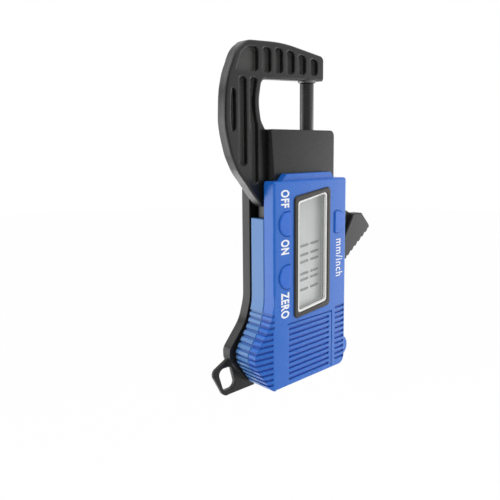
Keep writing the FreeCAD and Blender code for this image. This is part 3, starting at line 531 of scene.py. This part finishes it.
@dataclass(frozen=True)
class LiquidCrystal:
    """The grey display cell: fine upright lines, a soft painted shade towards its right side and
    painted light towards its foot.

    Sizes and places are in metres.
    """

    name: str
    middle: Colour
    low: Colour
    shade: Colour
    right: float = 0.0005
    fall: float = 0.004
    foot: float = -0.0735
    head: float = -0.036
    side_share: float = 0.55
    cloud_size: float = 0.004
    cloud_share: float = 0.12
    cloud_gloss: float = 0.15
    line_scale: float = 900.0
    line_bend: float = 0.6
    line_share: float = 0.05
    line_depth: float = 0.000002
    roughness: float = 0.3

    def make(self) -> bpy.types.Material:
        """Build the material."""
        mix = Recipe(self.name)
        lines = mix.read("ShaderNodeTexWave", 1, {"bands_direction": "X"}, {
            "Vector": mix.place(), "Scale": self.line_scale, "Distortion": self.line_bend,
            "Detail": GRAIN_LAYERS, "Detail Scale": 1.5})
        cloud = mix.noise(self.cloud_size)
        # Painted light: paler towards the foot, where the cell lies in shade.
        base = mix.blend(mix.axis("Z").between(self.foot, self.head), self.low, self.middle)
        # Painted shade: darker towards the right side, the shade of the window's wall.
        side = mix.axis("X").between(self.right - self.fall, self.right)
        toned = mix.blend(side * self.side_share + cloud * self.cloud_share
                          + lines * self.line_share, base, self.shade)
        mix.feed(Channel.COLOUR, toned)
        mix.feed(Channel.ROUGHNESS, self.roughness + cloud * self.cloud_gloss)
        mix.relief(lines, self.line_depth)
        return mix.material


@dataclass(frozen=True)
class Ink:
    """Printed ink with a slightly uneven cover. Sizes are in metres."""

    name: str
    colour: Colour
    under: Colour
    roughness: float = 0.5
    alpha: float = 1.0
    cover_size: float = 0.00035
    thin_reach: Reach = (0.55, 0.85)
    thin_share: float = 0.3
    gloss_drift: float = 0.2
    alpha_drift: float = 0.06
    depth: float = 0.000004

    def make(self) -> bpy.types.Material:
        """Build the material."""
        mix = Recipe(self.name)
        cover = mix.noise(self.cover_size)
        mix.feed(Channel.COLOUR, mix.blend(cover.between(*self.thin_reach) * self.thin_share,
                                           self.colour, self.under))
        mix.feed(Channel.ROUGHNESS, self.roughness + (cover - MEAN) * self.gloss_drift)
        mix.relief(cover, self.depth)
        if self.alpha < 1:
            mix.feed(Channel.ALPHA, self.alpha + (cover - MEAN) * self.alpha_drift)
        return mix.material


@dataclass(frozen=True)
class BoardMask:
    """Green lacquer over copper tracks. Sizes are in metres."""

    name: str
    colour: Colour
    track: Colour
    track_scale: float = 240.0
    track_offset: float = 0.35
    track_squash: float = 0.7
    track_gap: float = 0.05
    track_fade: float = 0.2
    track_share: float = 0.55
    track_depth: float = 0.00003
    cloud_size: float = 0.003
    cloud_share: float = 0.15
    cloud_gloss: float = 0.15
    roughness: float = 0.32

    def make(self) -> bpy.types.Material:
        """Build the material."""
        mix = Recipe(self.name)
        upright = mix.read("ShaderNodeMapping", 0, {}, {
            "Vector": mix.place(), "Rotation": (math.radians(90), 0.0, 0.0)})
        runs = mix.read("ShaderNodeTexBrick", 1,
                        {"offset": self.track_offset, "squash": self.track_squash},
                        {"Vector": upright, "Scale": self.track_scale,
                         "Mortar Size": self.track_gap, "Mortar Smooth": self.track_fade})
        cloud = mix.noise(self.cloud_size)
        mix.feed(Channel.COLOUR, mix.blend(runs * self.track_share + cloud * self.cloud_share,
                                           self.colour, self.track))
        mix.feed(Channel.ROUGHNESS, self.roughness + cloud * self.cloud_gloss)
        mix.relief(runs, self.track_depth)
        return mix.material


@dataclass(frozen=True)
class Graduated:
    """A scale of fine electrode bars on a pale ground. Sizes are in metres."""

    name: str
    ground: Colour
    bar: Colour
    pitch: float = 0.00127
    bar_reach: Reach = (0.4, 0.6)
    bar_metallic: float = 0.9
    bar_depth: float = 0.00002
    roughness: float = 0.3
    grime_size: float = 0.0015
    grime_gloss: float = 0.2

    def make(self) -> bpy.types.Material:
        """Build the material."""
        mix = Recipe(self.name)
        wave = mix.read("ShaderNodeTexWave", 1, {"bands_direction": "Z"}, {
            "Vector": mix.place(), "Scale": 2 * math.pi / (WAVE_TURN * self.pitch),
            "Distortion": 0.0})
        bars = wave.between(*self.bar_reach)
        mix.feed(Channel.COLOUR, mix.blend(bars, self.ground, self.bar))
        mix.feed(Channel.METALLIC, bars * self.bar_metallic)
        mix.feed(Channel.ROUGHNESS, self.roughness + mix.noise(self.grime_size) * self.grime_gloss)
        mix.relief(bars, self.bar_depth)
        return mix.material


@dataclass(frozen=True)
class PaleFloor:
    """A pale floor that is plain white where the camera sees it. Sizes are in metres."""

    name: str
    colour: Colour
    pale: Colour
    roughness: float = 0.9
    speck_size: float = 0.02
    seen_share: float = 0.97

    def make(self) -> bpy.types.Material:
        """Build the material."""
        mix = Recipe(self.name)
        mix.feed(Channel.COLOUR, mix.blend(mix.noise(self.speck_size), self.colour, self.pale))
        mix.fix(Roughness=self.roughness)
        seen = mix.read("ShaderNodeLightPath", "Is Camera Ray")
        glow = mix.node("ShaderNodeEmission", {}, {"Color": WHITE, "Strength": 1.0})
        both = mix.node("ShaderNodeMixShader", {}, {0: seen * self.seen_share})
        mix.tree.links.new(mix.surface.outputs[0], both.inputs[1])
        mix.tree.links.new(glow.outputs[0], both.inputs[2])
        mix.tree.links.new(both.outputs[0], mix.output.inputs[0])
        return mix.material


class Finishes:
    """Every finish of the gauge, made once."""

    def __init__(self) -> None:
        """Build all the materials."""
        self.black = MouldedPlastic("black plastic", tint(22, 22, 22), tint(104, 104, 102),
                                    drift=0.04, edge_wear_and_highlight=0.08, rounding=0.0004, ior=1.38).make()
        # The plate's pocket floors are painted paler: painted light on floors that lie in shade. Its
        # paler edges are partly wear and partly a painted highlight along the slot rims.
        self.plate = MouldedPlastic("plate plastic", tint(22, 22, 22), tint(104, 104, 102),
                                    drift=0.04, edge_wear_and_highlight=0.3, rounding=0.0007, ior=1.45,
                                    pocket_floors=(-0.0005,), painted_shading_tint=tint(66, 66, 65)).make()
        self.block = MouldedPlastic("block plastic", tint(18, 18, 18), tint(96, 96, 94), 0.28,
                                    drift=0.04, edge_wear_and_highlight=0.05, rounding=0.0005, ior=1.4).make()
        self.lever = MouldedPlastic("lever plastic", tint(22, 22, 22), tint(110, 110, 108), 0.38,
                                    grain=0.0002, depth=0.000006, drift=0.08, edge_wear_and_highlight=0.25,
                                    ior=1.38).make()
        # The blue's groove floors at the front and its side grooves are painted darker: painted shade
        # in the grooves.
        self.blue = MouldedPlastic("blue plastic", tint(20, 102, 201), tint(112, 158, 222),
                                   drift=0.05, edge_wear_and_highlight=0.06, rounding=0.0004, ior=1.46,
                                   pocket_floors=(-0.0075,), painted_shading_tint=tint(2, 80, 190),
                                   floor_from=-0.0175,
                                   grooves=SideGrooveShade(tint(2, 72, 184))).make()
        # Its side grooves are painted darker: painted shade in the grooves.
        self.pale_blue = MouldedPlastic("pale blue plastic", tint(80, 131, 194),
                                        tint(150, 184, 224), 0.32, drift=0.06, edge_wear_and_highlight=0.18, ior=1.45,
                                        grooves=SideGrooveShade(tint(14, 90, 188))).make()
        self.button = MouldedPlastic("button plastic", tint(24, 102, 208), tint(116, 164, 228),
                                     grain=0.00014, drift=0.05, edge_wear_and_highlight=0.12, ior=1.45).make()
        # The bezel's inner wall behind the window is painted pale grey: painted light on a wall that
        # lies in shade.
        self.bezel = MouldedPlastic("bezel plastic", tint(43, 40, 37), tint(146, 142, 134), 0.34,
                                    grain=0.00012, depth=0.000006, drift=0.06, edge_wear_and_highlight=0.2, ior=1.4,
                                    painted_shading_tint=tint(176, 178, 178), behind=-0.00712).make()
        self.white = MouldedPlastic("white plastic", tint(252, 252, 250), tint(255, 255, 254),
                                    0.35, drift=0.3).make()
        self.carriage = MouldedPlastic("carriage plastic", tint(188, 186, 176),
                                       tint(214, 212, 204), 0.5, depth=0.000006).make()
        self.window = ClearWindow("window", tint(214, 218, 216), tint(196, 200, 200)).make()
        # The cell is painted paler towards its foot (painted light) and darker towards its right side
        # (painted shade).
        self.cell = LiquidCrystal("display cell", tint(216, 219, 217), tint(232, 234, 233),
                                  tint(150, 152, 152)).make()
        self.segment = Ink("display segments", tint(118, 120, 120), tint(160, 162, 162),
                           roughness=0.35, alpha=0.23).make()
        self.legend = Ink("legend ink", tint(246, 247, 250), tint(206, 218, 240)).make()
        self.dark_steel = TurnedMetal("dark steel", tint(80, 80, 81), 0.2, 0.9).make()
        # The anvil's steel is paler than the spindle's: painted light on an anvil that lies in the
        # arm's shade.
        self.anvil_steel_painted_light = TurnedMetal("anvil steel", tint(122, 122, 123), 0.26, 0.9).make()
        self.steel = TurnedMetal("steel", tint(198, 198, 200), 0.22).make()
        self.brass = TurnedMetal("brass", tint(206, 168, 92), 0.26).make()
        self.nickel = PressedMetal("nickel", tint(206, 204, 198)).make()
        self.screw = PressedMetal("screw steel", tint(120, 120, 122), 0.34).make()
        self.can = PressedMetal("cell can", tint(212, 212, 210), 0.2).make()
        self.rubber = MouldedPlastic("rubber", tint(58, 58, 60), tint(96, 96, 98), 0.7,
                                     depth=0.000006).make()
        self.board = BoardMask("board lacquer", tint(26, 84, 52), tint(64, 132, 84)).make()
        self.scale = Graduated("scale bars", tint(30, 92, 60), tint(206, 170, 96)).make()
        self.chip = MouldedPlastic("chip resin", tint(34, 34, 36), tint(90, 90, 92), 0.6,
                                   depth=0.000006).make()
        self.floor = PaleFloor("pale floor", tint(250, 250, 250), tint(255, 255, 255)).make()


class Piece:
    """One finished mesh that rides on a body."""

    def __init__(self, name: str, form: bmesh.types.BMesh) -> None:
        """Turn a bmesh into an object at the origin.

        Args:
            name: The piece's name.
            form: Its shape. It is freed here.
        """
        mesh = bpy.data.meshes.new(name)
        form.to_mesh(mesh)
        form.free()
        self.thing = bpy.data.objects.new(name, mesh)
        bpy.context.scene.collection.objects.link(self.thing)

    def smooth(self, degrees: float = 32.0) -> "Piece":
        """Shade it smooth, with flat broad faces and edges sharper than an angle kept hard."""
        mesh = self.thing.data
        mesh.shade_smooth()
        mesh.set_sharp_from_angle(angle=math.radians(degrees))
        even = self.thing.modifiers.new("even faces", "WEIGHTED_NORMAL")
        even.keep_sharp = True
        return self

    def hold(self, body: Body, slot: str, finish: bpy.types.Material, *nodes: str) -> "Piece":
        """Let the piece ride on a body, give it its finish and hide the solids it stands for."""
        self.thing.data.materials.append(finish)
        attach(self.thing, body.value)
        if nodes:
            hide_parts(*nodes)
        log.info("piece %s on %s", self.thing.name, body.value)
        return self


def dress_nodes(finish: bpy.types.Material, *nodes: str) -> None:
    """Give solids that stay in view their finish.

    Args:
        finish: The material for all of their slots.
        nodes: The names of the solids.
    """
    for node in nodes:
        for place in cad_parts[node].material_slots:
            place.material = finish
        log.info("solid %s gets %s", node, finish.name)


def plain_copy(node: str) -> bmesh.types.BMesh:
    """A copy of a solid's mesh with whole flat faces.

    Args:
        node: The solid's name.

    Returns:
        The copy.
    """
    form = bmesh.new()
    form.from_mesh(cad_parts[node].data)
    bmesh.ops.remove_doubles(form, verts=form.verts, dist=2 * WELD)
    bmesh.ops.dissolve_limit(form, angle_limit=FLAT_TURN, verts=form.verts, edges=form.edges)
    return form


def round_edges(form: bmesh.types.BMesh, edge: float, rows: int = 2,
                limit: float = 38.0) -> bmesh.types.BMesh:
    """Give a shape real rounded edges.

    Args:
        form: The shape.
        edge: The width of the rounding in millimetres.
        rows: How many strips make up the rounding.
        limit: Edges that turn by more than this many degrees are rounded.

    Returns:
        The same shape, ready to be made a piece.
    """
    turn = math.radians(limit)
    sharp = [e for e in form.edges if len(e.link_faces) == 2 and e.calc_face_angle(0.0) > turn]
    bmesh.ops.bevel(form, geom=sharp, offset=edge * MM, offset_type="OFFSET", segments=rows,
                    profile=0.5, affect="EDGES", material=-1, clamp_overlap=True, loop_slide=True)
    bmesh.ops.remove_doubles(form, verts=form.verts, dist=WELD)
    return form


def round_upright(form: bmesh.types.BMesh, corner: Vector, edge: float, rows: int = 6) -> None:
    """Round the upright edge of a shape that stands at a corner.

    Args:
        form: The shape.
        corner: A point of the shared frame. Only its x and y count.
        edge: The width of the rounding in millimetres.
        rows: How many strips make up the rounding.
    """
    near = 0.15 * MM
    rims = [rim for rim in form.edges
            if all(abs(v.co.x - corner.x) < near and abs(v.co.y - corner.y) < near
                   for v in rim.verts) and rim.calc_length() > 2 * edge * MM]
    bmesh.ops.bevel(form, geom=rims, offset=edge * MM, offset_type="OFFSET", segments=rows,
                    profile=0.5, affect="EDGES", material=-1, clamp_overlap=False, loop_slide=True)


def refined(node: str, edge: float) -> bmesh.types.BMesh:
    """A copy of a solid's mesh with real rounded edges."""
    return round_edges(plain_copy(node), edge)


def stand_in(name: str, node: str, edge: float, slot: str, finish: bpy.types.Material,
             body: Body = Body.HOUSING) -> None:
    """Put a piece with real rounded edges in the place of a solid."""
    Piece(name, refined(node, edge)).smooth().hold(body, slot, finish, node)


def add_form(form: bmesh.types.BMesh, extra: bmesh.types.BMesh) -> None:
    """Add a second shape to a first one and free it.

    Args:
        form: The shape that grows.
        extra: The shape that is added.
    """
    carrier = bpy.data.meshes.new("carrier")
    extra.to_mesh(carrier)
    extra.free()
    form.from_mesh(carrier)
    bpy.data.meshes.remove(carrier)


@dataclass
class Legend:
    """One printed word that reads downwards.

    Places are in millimetres. Boldness, depth and weld are shares of the height of the letters.
    """

    words: str
    left: float
    right: float
    top: float
    low: float
    front: float = 0.0
    raised: float = 0.03
    boldness: float = 0.034
    spacing: float = 1.12
    depth: float = 0.01
    curve_rows: int = 6
    weld: float = 0.00001
    hard_turn: float = 30.0

    def build(self, name: str) -> Piece:
        """Make the letters and fit them to their place.

        Args:
            name: The piece's name.

        Returns:
            The finished piece.
        """
        curve = bpy.data.curves.new(name, "FONT")
        curve.body = self.words
        curve.offset = self.boldness
        curve.space_character = self.spacing
        curve.extrude = self.depth
        curve.resolution_u = self.curve_rows
        writer = bpy.data.objects.new(name + "_curve", curve)
        bpy.context.scene.collection.objects.link(writer)
        bpy.context.view_layer.update()
        mesh = bpy.data.meshes.new_from_object(writer)
        bpy.data.objects.remove(writer)
        form = bmesh.new()
        form.from_mesh(mesh)
        bpy.data.meshes.remove(mesh)
        bmesh.ops.remove_doubles(form, verts=form.verts, dist=self.weld)
        spots = [v.co.copy() for v in form.verts]
        x0, x1 = min(p.x for p in spots), max(p.x for p in spots)
        y0, y1 = min(p.y for p in spots), max(p.y for p in spots)
        z1 = max(p.z for p in spots)
        long = (self.top - self.low) / (x1 - x0)
        tall = (self.right - self.left) / (y1 - y0)
        for vertex in form.verts:
            x, y, z = vertex.co
            vertex.co = at(self.left + (y - y0) * tall, self.front - z / z1 * self.raised,
                           self.top - (x - x0) * long)
        bmesh.ops.recalc_face_normals(form, faces=form.faces)
        return Piece(name, form).smooth(self.hard_turn)


@dataclass
class Assembly:
    """A part of the gauge or of its studio, with all the finishes to choose from."""

    finishes: Finishes

    def build(self) -> None:
        """Make the new pieces, where there are any."""

    def dress(self) -> None:
        """Give the solids that stay in view their finish, where there are any."""


@dataclass
class Head(Assembly):
    """The C-shaped plate, the block and the fixed anvil. Sizes are in millimetres.

    The belly says how far the left outline moves to the right at some heights.
    """

    plate_edge: float = 0.22
    block_edge: float = 2.2
    block_rim: float = 0.1
    pocket_floor: float = 6.9
    pocket_depth: float = 0.6
    floor_slack: float = 0.02
    row: float = 1.5
    belly: tuple[tuple[float, float], ...] = (
        (60.0, -0.2), (63.0, -0.1), (67.0, 0.4), (71.3, 0.1), (76.0, -0.45), (84.4, -0.35),
        (91.0, -0.05), (99.2, -0.5), (103.0, -0.05), (107.0, 0.6), (110.5, 0.2))
    belly_reach: Reach = (1.2, 3.6)

    def deepen(self, form: bmesh.types.BMesh) -> None:
        """Sink the floors of the pockets of the front."""
        for vertex in form.verts:
            if abs(vertex.co.y - at(0.0, self.pocket_floor, 0.0).y) < self.floor_slack * MM:
                vertex.co.y += self.pocket_depth * MM

    def bend(self, height: float) -> float:
        """How far the left outline moves to the right at a height, in millimetres."""
        for (low, first), (high, last) in zip(self.belly, self.belly[1:]):
            if low <= height <= high:
                share = (height - low) / (high - low)
                share = share * share * (3 - 2 * share)
                return first + (last - first) * share
        return 0.0

    def curve_side(self, form: bmesh.types.BMesh) -> None:
        """Make the left outline of the plate one long curve."""
        heights = [self.belly[0][0] + k * self.row
                   for k in range(int((self.belly[-1][0] - self.belly[0][0]) / self.row) + 1)]
        for height in heights:
            bmesh.ops.bisect_plane(form, geom=form.verts[:] + form.edges[:] + form.faces[:],
                                   dist=WELD, plane_co=at(0.0, 0.0, height),
                                   plane_no=(0.0, 0.0, 1.0))
        rims: dict[int, float] = {}
        spots = [((v.co - HOUSING_CORNER) / MM, v) for v in form.verts]
        for spot, _ in spots:
            key = round(spot.z / self.row)
            rims[key] = min(rims.get(key, spot.x), spot.x)
        near, far = self.belly_reach
        for spot, vertex in spots:
            away = spot.x - rims[round(spot.z / self.row)]
            share = min(max((far - away) / (far - near), 0.0), 1.0)
            vertex.co.x += self.bend(spot.z) * share * MM

    def build(self) -> None:
        """Make the pieces of the head."""
        plate = plain_copy("frame")
        self.deepen(plate)
        self.curve_side(plate)
        Piece("head_plate", round_edges(plate, self.plate_edge)).smooth().hold(
            Body.HOUSING, "black_plastic", self.finishes.plate, "frame")
        block = plain_copy("nose_block")
        round_upright(block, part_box("nose_block")[0], self.block_edge)
        Piece("head_block", round_edges(block, self.block_rim)).smooth().hold(
            Body.HOUSING, "black_plastic", self.finishes.block, "nose_block")

    def dress(self) -> None:
        """Give the solids of the head their finish."""
        dress_nodes(self.finishes.anvil_steel_painted_light, "anvil")
        dress_nodes(self.finishes.brass, "upper_bush", "lower_bush")


@dataclass
class Housing(Assembly):
    """The two blue shells, the black back and what closes it. Sizes are in millimetres."""

    edge: float = 0.22
    cover_edge: float = 0.24
    screw_edge: float = 0.1

    def build(self) -> None:
        """Make the shells, the screws and the battery's lid."""
        looks = self.finishes
        stand_in("front_shell", "front_cover", self.cover_edge, "blue_plastic", looks.blue)
        stand_in("side_shell", "middle_shell", self.edge, "pale_blue_plastic", looks.pale_blue)
        stand_in("back_shell", "back_cover", self.edge, "black_plastic", looks.black)
        stand_in("housing_screws", "case_screws", self.screw_edge, "steel", looks.screw)
        stand_in("battery_lid", "battery_door", self.edge, "black_plastic", looks.black, Body.DOOR)

    def dress(self) -> None:
        """Give the battery and its contacts their finish."""
        dress_nodes(self.finishes.can, "battery")
        dress_nodes(self.finishes.nickel, "battery_minus_contact", "battery_plus_contact")


@dataclass
class Reading(Assembly):
    """The upright strokes of three noughts that read downwards. Sizes are in millimetres.

    Each row is one side of a nought, and has a bar on each side of the middle.
    """

    rows: tuple[float, ...] = (44.9, 41.9, 39.5, 35.5, 33.5, 30.1)
    left: float = 13.7
    middle: float = 18.3
    right: float = 22.9
    gap: float = 0.3
    thick: float = 0.9
    taper: float = 0.45
    lean: float = 0.1
    above: float = 0.02

    def bar(self, form: bmesh.types.BMesh, start: tuple[float, float], end: tuple[float, float],
            front: float) -> None:
        """Add one bar with tapered ends between two points of the front view.

        Args:
            form: The shape that gets the bar.
            start: Its first end, as x and z in millimetres.
            end: Its other end.
            front: The depth of the cell's face in millimetres.
        """
        turn = math.atan2(end[1] - start[1], end[0] - start[0])
        middle = at((start[0] + end[0]) / 2, front - self.above, (start[1] + end[1]) / 2)
        single = bmesh.new()
        bmesh.ops.create_cube(single, size=1.0)
        bmesh.ops.scale(single, vec=Vector((math.dist(start, end), self.above, self.thick)),
                        verts=single.verts)
        ends = [e for e in single.edges if e.verts[0].co.y * e.verts[1].co.y < 0]
        bmesh.ops.bevel(single, geom=ends, offset=self.thick * self.taper, segments=1, profile=0.5,
                        affect="EDGES", material=-1)
        bmesh.ops.transform(single, verts=single.verts, matrix=Matrix.Translation(middle)
                            @ Matrix.Rotation(-turn, 4, "Y") @ Matrix.Scale(MM, 4))
        add_form(form, single)

    def build(self) -> None:
        """Make the bars of the reading."""
        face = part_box("lcd_panel")[0].y
        front = (face - HOUSING_CORNER.y) / MM
        form = bmesh.new()
        for z in self.rows:
            for x0, x1 in ((self.left, self.middle - self.gap), (self.middle + self.gap, self.right)):
                self.bar(form, (x0, z + self.lean * (x0 - self.left)),
                         (x1, z + self.lean * (x1 - self.left)), front)
        Piece("display_digits", form).hold(Body.HOUSING, "lcd", self.finishes.segment)


@dataclass
class Display(Assembly):
    """The rim, the pale line, the window and the display cell. Sizes are in millimetres."""

    rim_edge: float = 0.16
    line_edge: float = 0.12
    lens_edge: float = 0.08

    def build(self) -> None:
        """Make the rim, line and window."""
        looks = self.finishes
        stand_in("display_rim", "display_bezel", self.rim_edge, "bezel_plastic", looks.bezel)
        stand_in("window_line", "window_frame", self.line_edge, "white_plastic", looks.white)
        stand_in("window", "display_lens", self.lens_edge, "window", looks.window)

    def dress(self) -> None:
        """Give the display cell and its contact strips their finish."""
        dress_nodes(self.finishes.cell, "lcd_panel")
        dress_nodes(self.finishes.rubber, "contact_strips")


@dataclass
class Keys(Assembly):
    """The three keys, their domes and the words beside them. Sizes are in millimetres."""

    edge: float = 0.1
    legends: tuple[tuple[str, Legend], ...] = (
        ("legend_off", Legend("OFF", 2.9, 6.6, 64.3, 58.7)),
        ("legend_on", Legend("ON", 2.9, 6.6, 48.6, 43.9)),
        ("legend_zero", Legend("ZERO", 2.9, 6.6, 31.65, 23.15)),
        ("legend_unit", Legend("mm/inch", 29.7, 33.3, 45.8, 32.6, boldness=0.01)),
    )

    def build(self) -> None:
        """Make the keys and the words."""
        for name, node, body in (("key_on_off", "on_off_button", Body.ON_OFF),
                                 ("key_zero", "zero_button", Body.ZERO),
                                 ("key_unit", "unit_button", Body.UNIT)):
            stand_in(name, node, self.edge, "button_plastic", self.finishes.button, body)
        for name, legend in self.legends:
            legend.build(name).hold(Body.HOUSING, "white_plastic", self.finishes.legend)

    def dress(self) -> None:
        """Give the domes their finish."""
        dress_nodes(self.finishes.nickel, "switch_domes")


@dataclass
class Slide(Assembly):
    """What moves with the spindle, and what it runs on. Sizes are in millimetres."""

    lever_edge: float = 0.12
    spindle_edge: float = 0.1
    beak: tuple[float, float] = (53.3, 47.5)
    heel: tuple[float, float] = (38.8, 37.1)
    teeth: int = 7
    first_tooth: float = 0.6
    tooth_reach: float = 0.6
    tooth_growth: float = 1.7

    def open_teeth(self, form: bmesh.types.BMesh) -> None:
        """Widen and deepen the notches along the lower edge of the lever."""
        for k in range(self.teeth):
            share = (k + self.first_tooth) / self.teeth
            x = self.beak[0] + share * (self.heel[0] - self.beak[0])
            z = self.beak[1] + share * (self.heel[1] - self.beak[1])
            for vertex in form.verts:
                spot = (vertex.co - HOUSING_CORNER) / MM
                away = Vector((spot.x - x, 0.0, spot.z - z))
                if away.length < self.tooth_reach:
                    vertex.co += away * (self.tooth_growth - 1) * MM

    def build(self) -> None:
        """Make the lever and the spindle."""
        lever = plain_copy("thumb_lever")
        self.open_teeth(lever)
        Piece("thumb_piece", round_edges(lever, self.lever_edge)).smooth().hold(
            Body.SLIDE, "lever_plastic", self.finishes.lever, "thumb_lever")
        stand_in("measuring_rod", "spindle", self.spindle_edge, "dark_steel",
                 self.finishes.dark_steel, Body.SLIDE)

    def dress(self) -> None:
        """Give the solids of the slide their finish."""
        dress_nodes(self.finishes.carriage, "carriage")
        dress_nodes(self.finishes.screw, "clamp_screw", "lever_screw")
        dress_nodes(self.finishes.board, "reader_plate")
        dress_nodes(self.finishes.steel, "guide_rod", "spring_post", "return_spring")


@dataclass
class Inside(Assembly):
    """The circuit board and what is on it."""

    def dress(self) -> None:
        """Give the solids inside their finish."""
        dress_nodes(self.finishes.board, "circuit_board")
        dress_nodes(self.finishes.chip, "processor_chip")
        dress_nodes(self.finishes.scale, "scale_strip")
        dress_nodes(self.finishes.screw, "board_screws")


@dataclass
class Lamp:
    """One soft lamp, placed on a ball round the middle of the gauge.

    The bearing is 0 in front of the gauge and grows to its right, and the height is 0 on a level
    with it, both in degrees. Lengths are in metres. The glow is 1 for a face of plain white.
    """

    name: str
    bearing: float
    height: float
    distance: float
    wide: float
    tall: float
    glow: float


@dataclass
class Studio(Assembly):
    """The pale floor, the soft lamps, the surroundings and the camera.

    The floor's drop and the camera's place are in millimetres, angles are in degrees.
    """

    middle: Vector = field(default_factory=lambda: at(12.0, 8.0, 52.0))
    floor_drop: float = 165.0
    floor_size: float = 4.0
    floor_corners: int = 64
    lamps: tuple[Lamp, ...] = (
        Lamp("back left softbox", -140.0, -8.0, 0.5, 0.2, 0.34, 2.9),
        Lamp("upper back left softbox", -140.0, 36.0, 0.5, 0.2, 0.2, 1.7),
        Lamp("low back left softbox", -182.0, -38.0, 0.33, 0.26, 0.16, 3.4),
        Lamp("right softbox", 67.0, -10.0, 0.48, 0.28, 0.3, 3.0),
        Lamp("top softbox", -20.0, 72.0, 0.7, 0.55, 0.55, 2.0),
    )
    surround: float = 0.62
    dark_side: float = 0.3
    dark_reach: Reach = (0.3, 0.9)
    picture_side: int = 500
    focal_pixels: float = 566.0
    picture_centre: tuple[float, float] = (288.0, 217.0)
    stand_off: float = 172.0
    stand_bearing: float = 44.1
    stand_height: float = 78.6
    look_bearing: float = 45.5
    look_dip: float = 7.4
    film: float = 36.0
    nearest: float = 0.005

    @staticmethod
    def put(name: str, data: Any, place: Matrix) -> bpy.types.Object:
        """Add an object that isn't part of the gauge at its place."""
        thing = bpy.data.objects.new(name, data)
        thing.matrix_world = place
        bpy.context.scene.collection.objects.link(thing)
        return thing

    def camera(self) -> None:
        """Place the camera where the picture was taken."""
        bearing = math.radians(self.stand_bearing)
        eye = at(-self.stand_off * math.sin(bearing), -self.stand_off * math.cos(bearing),
                 self.stand_height)
        turn, dip = math.radians(self.look_bearing), math.radians(self.look_dip)
        forward = Vector((math.sin(turn) * math.cos(dip), math.cos(turn) * math.cos(dip),
                          -math.sin(dip)))
        right = Vector((math.cos(turn), -math.sin(turn), 0.0))
        up = right.cross(forward)
        data = bpy.data.cameras.new("camera")
        data.sensor_width = self.film
        data.lens = self.focal_pixels / self.picture_side * self.film
        half = self.picture_side / 2
        data.shift_x = (half - self.picture_centre[0]) / self.picture_side
        data.shift_y = (self.picture_centre[1] - half) / self.picture_side
        data.clip_start = self.nearest
        turned = Matrix((right, up, -forward)).transposed().to_4x4()
        bpy.context.scene.camera = self.put("camera", data, Matrix.Translation(eye) @ turned)

    def light(self) -> None:
        """Hang the soft lamps."""
        for lamp in self.lamps:
            data = bpy.data.lights.new(lamp.name, "AREA")
            data.shape = "RECTANGLE"
            data.size = lamp.wide
            data.size_y = lamp.tall
            data.energy = lamp.glow * math.pi * lamp.wide * lamp.tall
            bearing, height = math.radians(lamp.bearing), math.radians(lamp.height)
            out = Vector((math.sin(bearing) * math.cos(height), -math.cos(bearing) * math.cos(height),
                          math.sin(height)))
            turned = out.to_track_quat("Z", "Y").to_matrix().to_4x4()
            self.put(lamp.name, data, Matrix.Translation(self.middle + out * lamp.distance) @ turned)

    def surroundings(self) -> None:
        """White where it is seen, darker on the camera's side where it is mirrored."""
        sky = SkyRecipe("surroundings")
        rays = sky.node("ShaderNodeLightPath")
        seen, mirrored, through = (Signal(sky, rays.outputs[name]) for name in (
            "Is Camera Ray", "Is Glossy Ray", "Is Transmission Ray"))
        bearing = math.radians(self.stand_bearing)
        facing = sky.read("ShaderNodeVectorMath", "Value", {"operation": "DOT_PRODUCT"}, {
            0: sky.read("ShaderNodeTexCoord", "Generated"),
            1: (-math.sin(bearing), -math.cos(bearing), 0.0)})
        shade = 1 - facing.between(*self.dark_reach) * (1 - self.dark_side)
        lit = self.surround + through * (1 - self.surround)
        strength = seen + (1 - seen) * (mirrored * shade + (1 - mirrored) * lit)
        glow = sky.node("ShaderNodeBackground", {}, {"Color": WHITE, "Strength": strength})
        out = sky.node("ShaderNodeOutputWorld")
        sky.tree.links.new(glow.outputs[0], out.inputs[0])
        bpy.context.scene.world = sky.world

    def floor(self) -> None:
        """Lay the plain pale floor below the gauge."""
        form = bmesh.new()
        bmesh.ops.create_circle(form, cap_ends=True, segments=self.floor_corners,
                                radius=self.floor_size / 2)
        lowest = CAD_BOX[0][2]
        bmesh.ops.translate(form, verts=form.verts,
                            vec=Vector((0.0, 0.0, lowest - self.floor_drop * MM)))
        piece = Piece("floor", form)
        piece.thing.data.materials.append(self.finishes.floor)

    def build(self) -> None:
        """Set up the whole studio."""
        self.floor()
        self.light()
        self.surroundings()
        self.camera()
        bpy.context.scene.view_settings.view_transform = "Standard"


def main() -> None:
    """Build the gauge and its studio."""
    logging.basicConfig(level=logging.INFO, format="%(message)s")
    finishes = Finishes()
    for assembly in (Head, Housing, Display, Reading, Keys, Slide, Inside, Studio):
        part = assembly(finishes)
        part.build()
        part.dress()


if __name__ == "__main__":
    main()
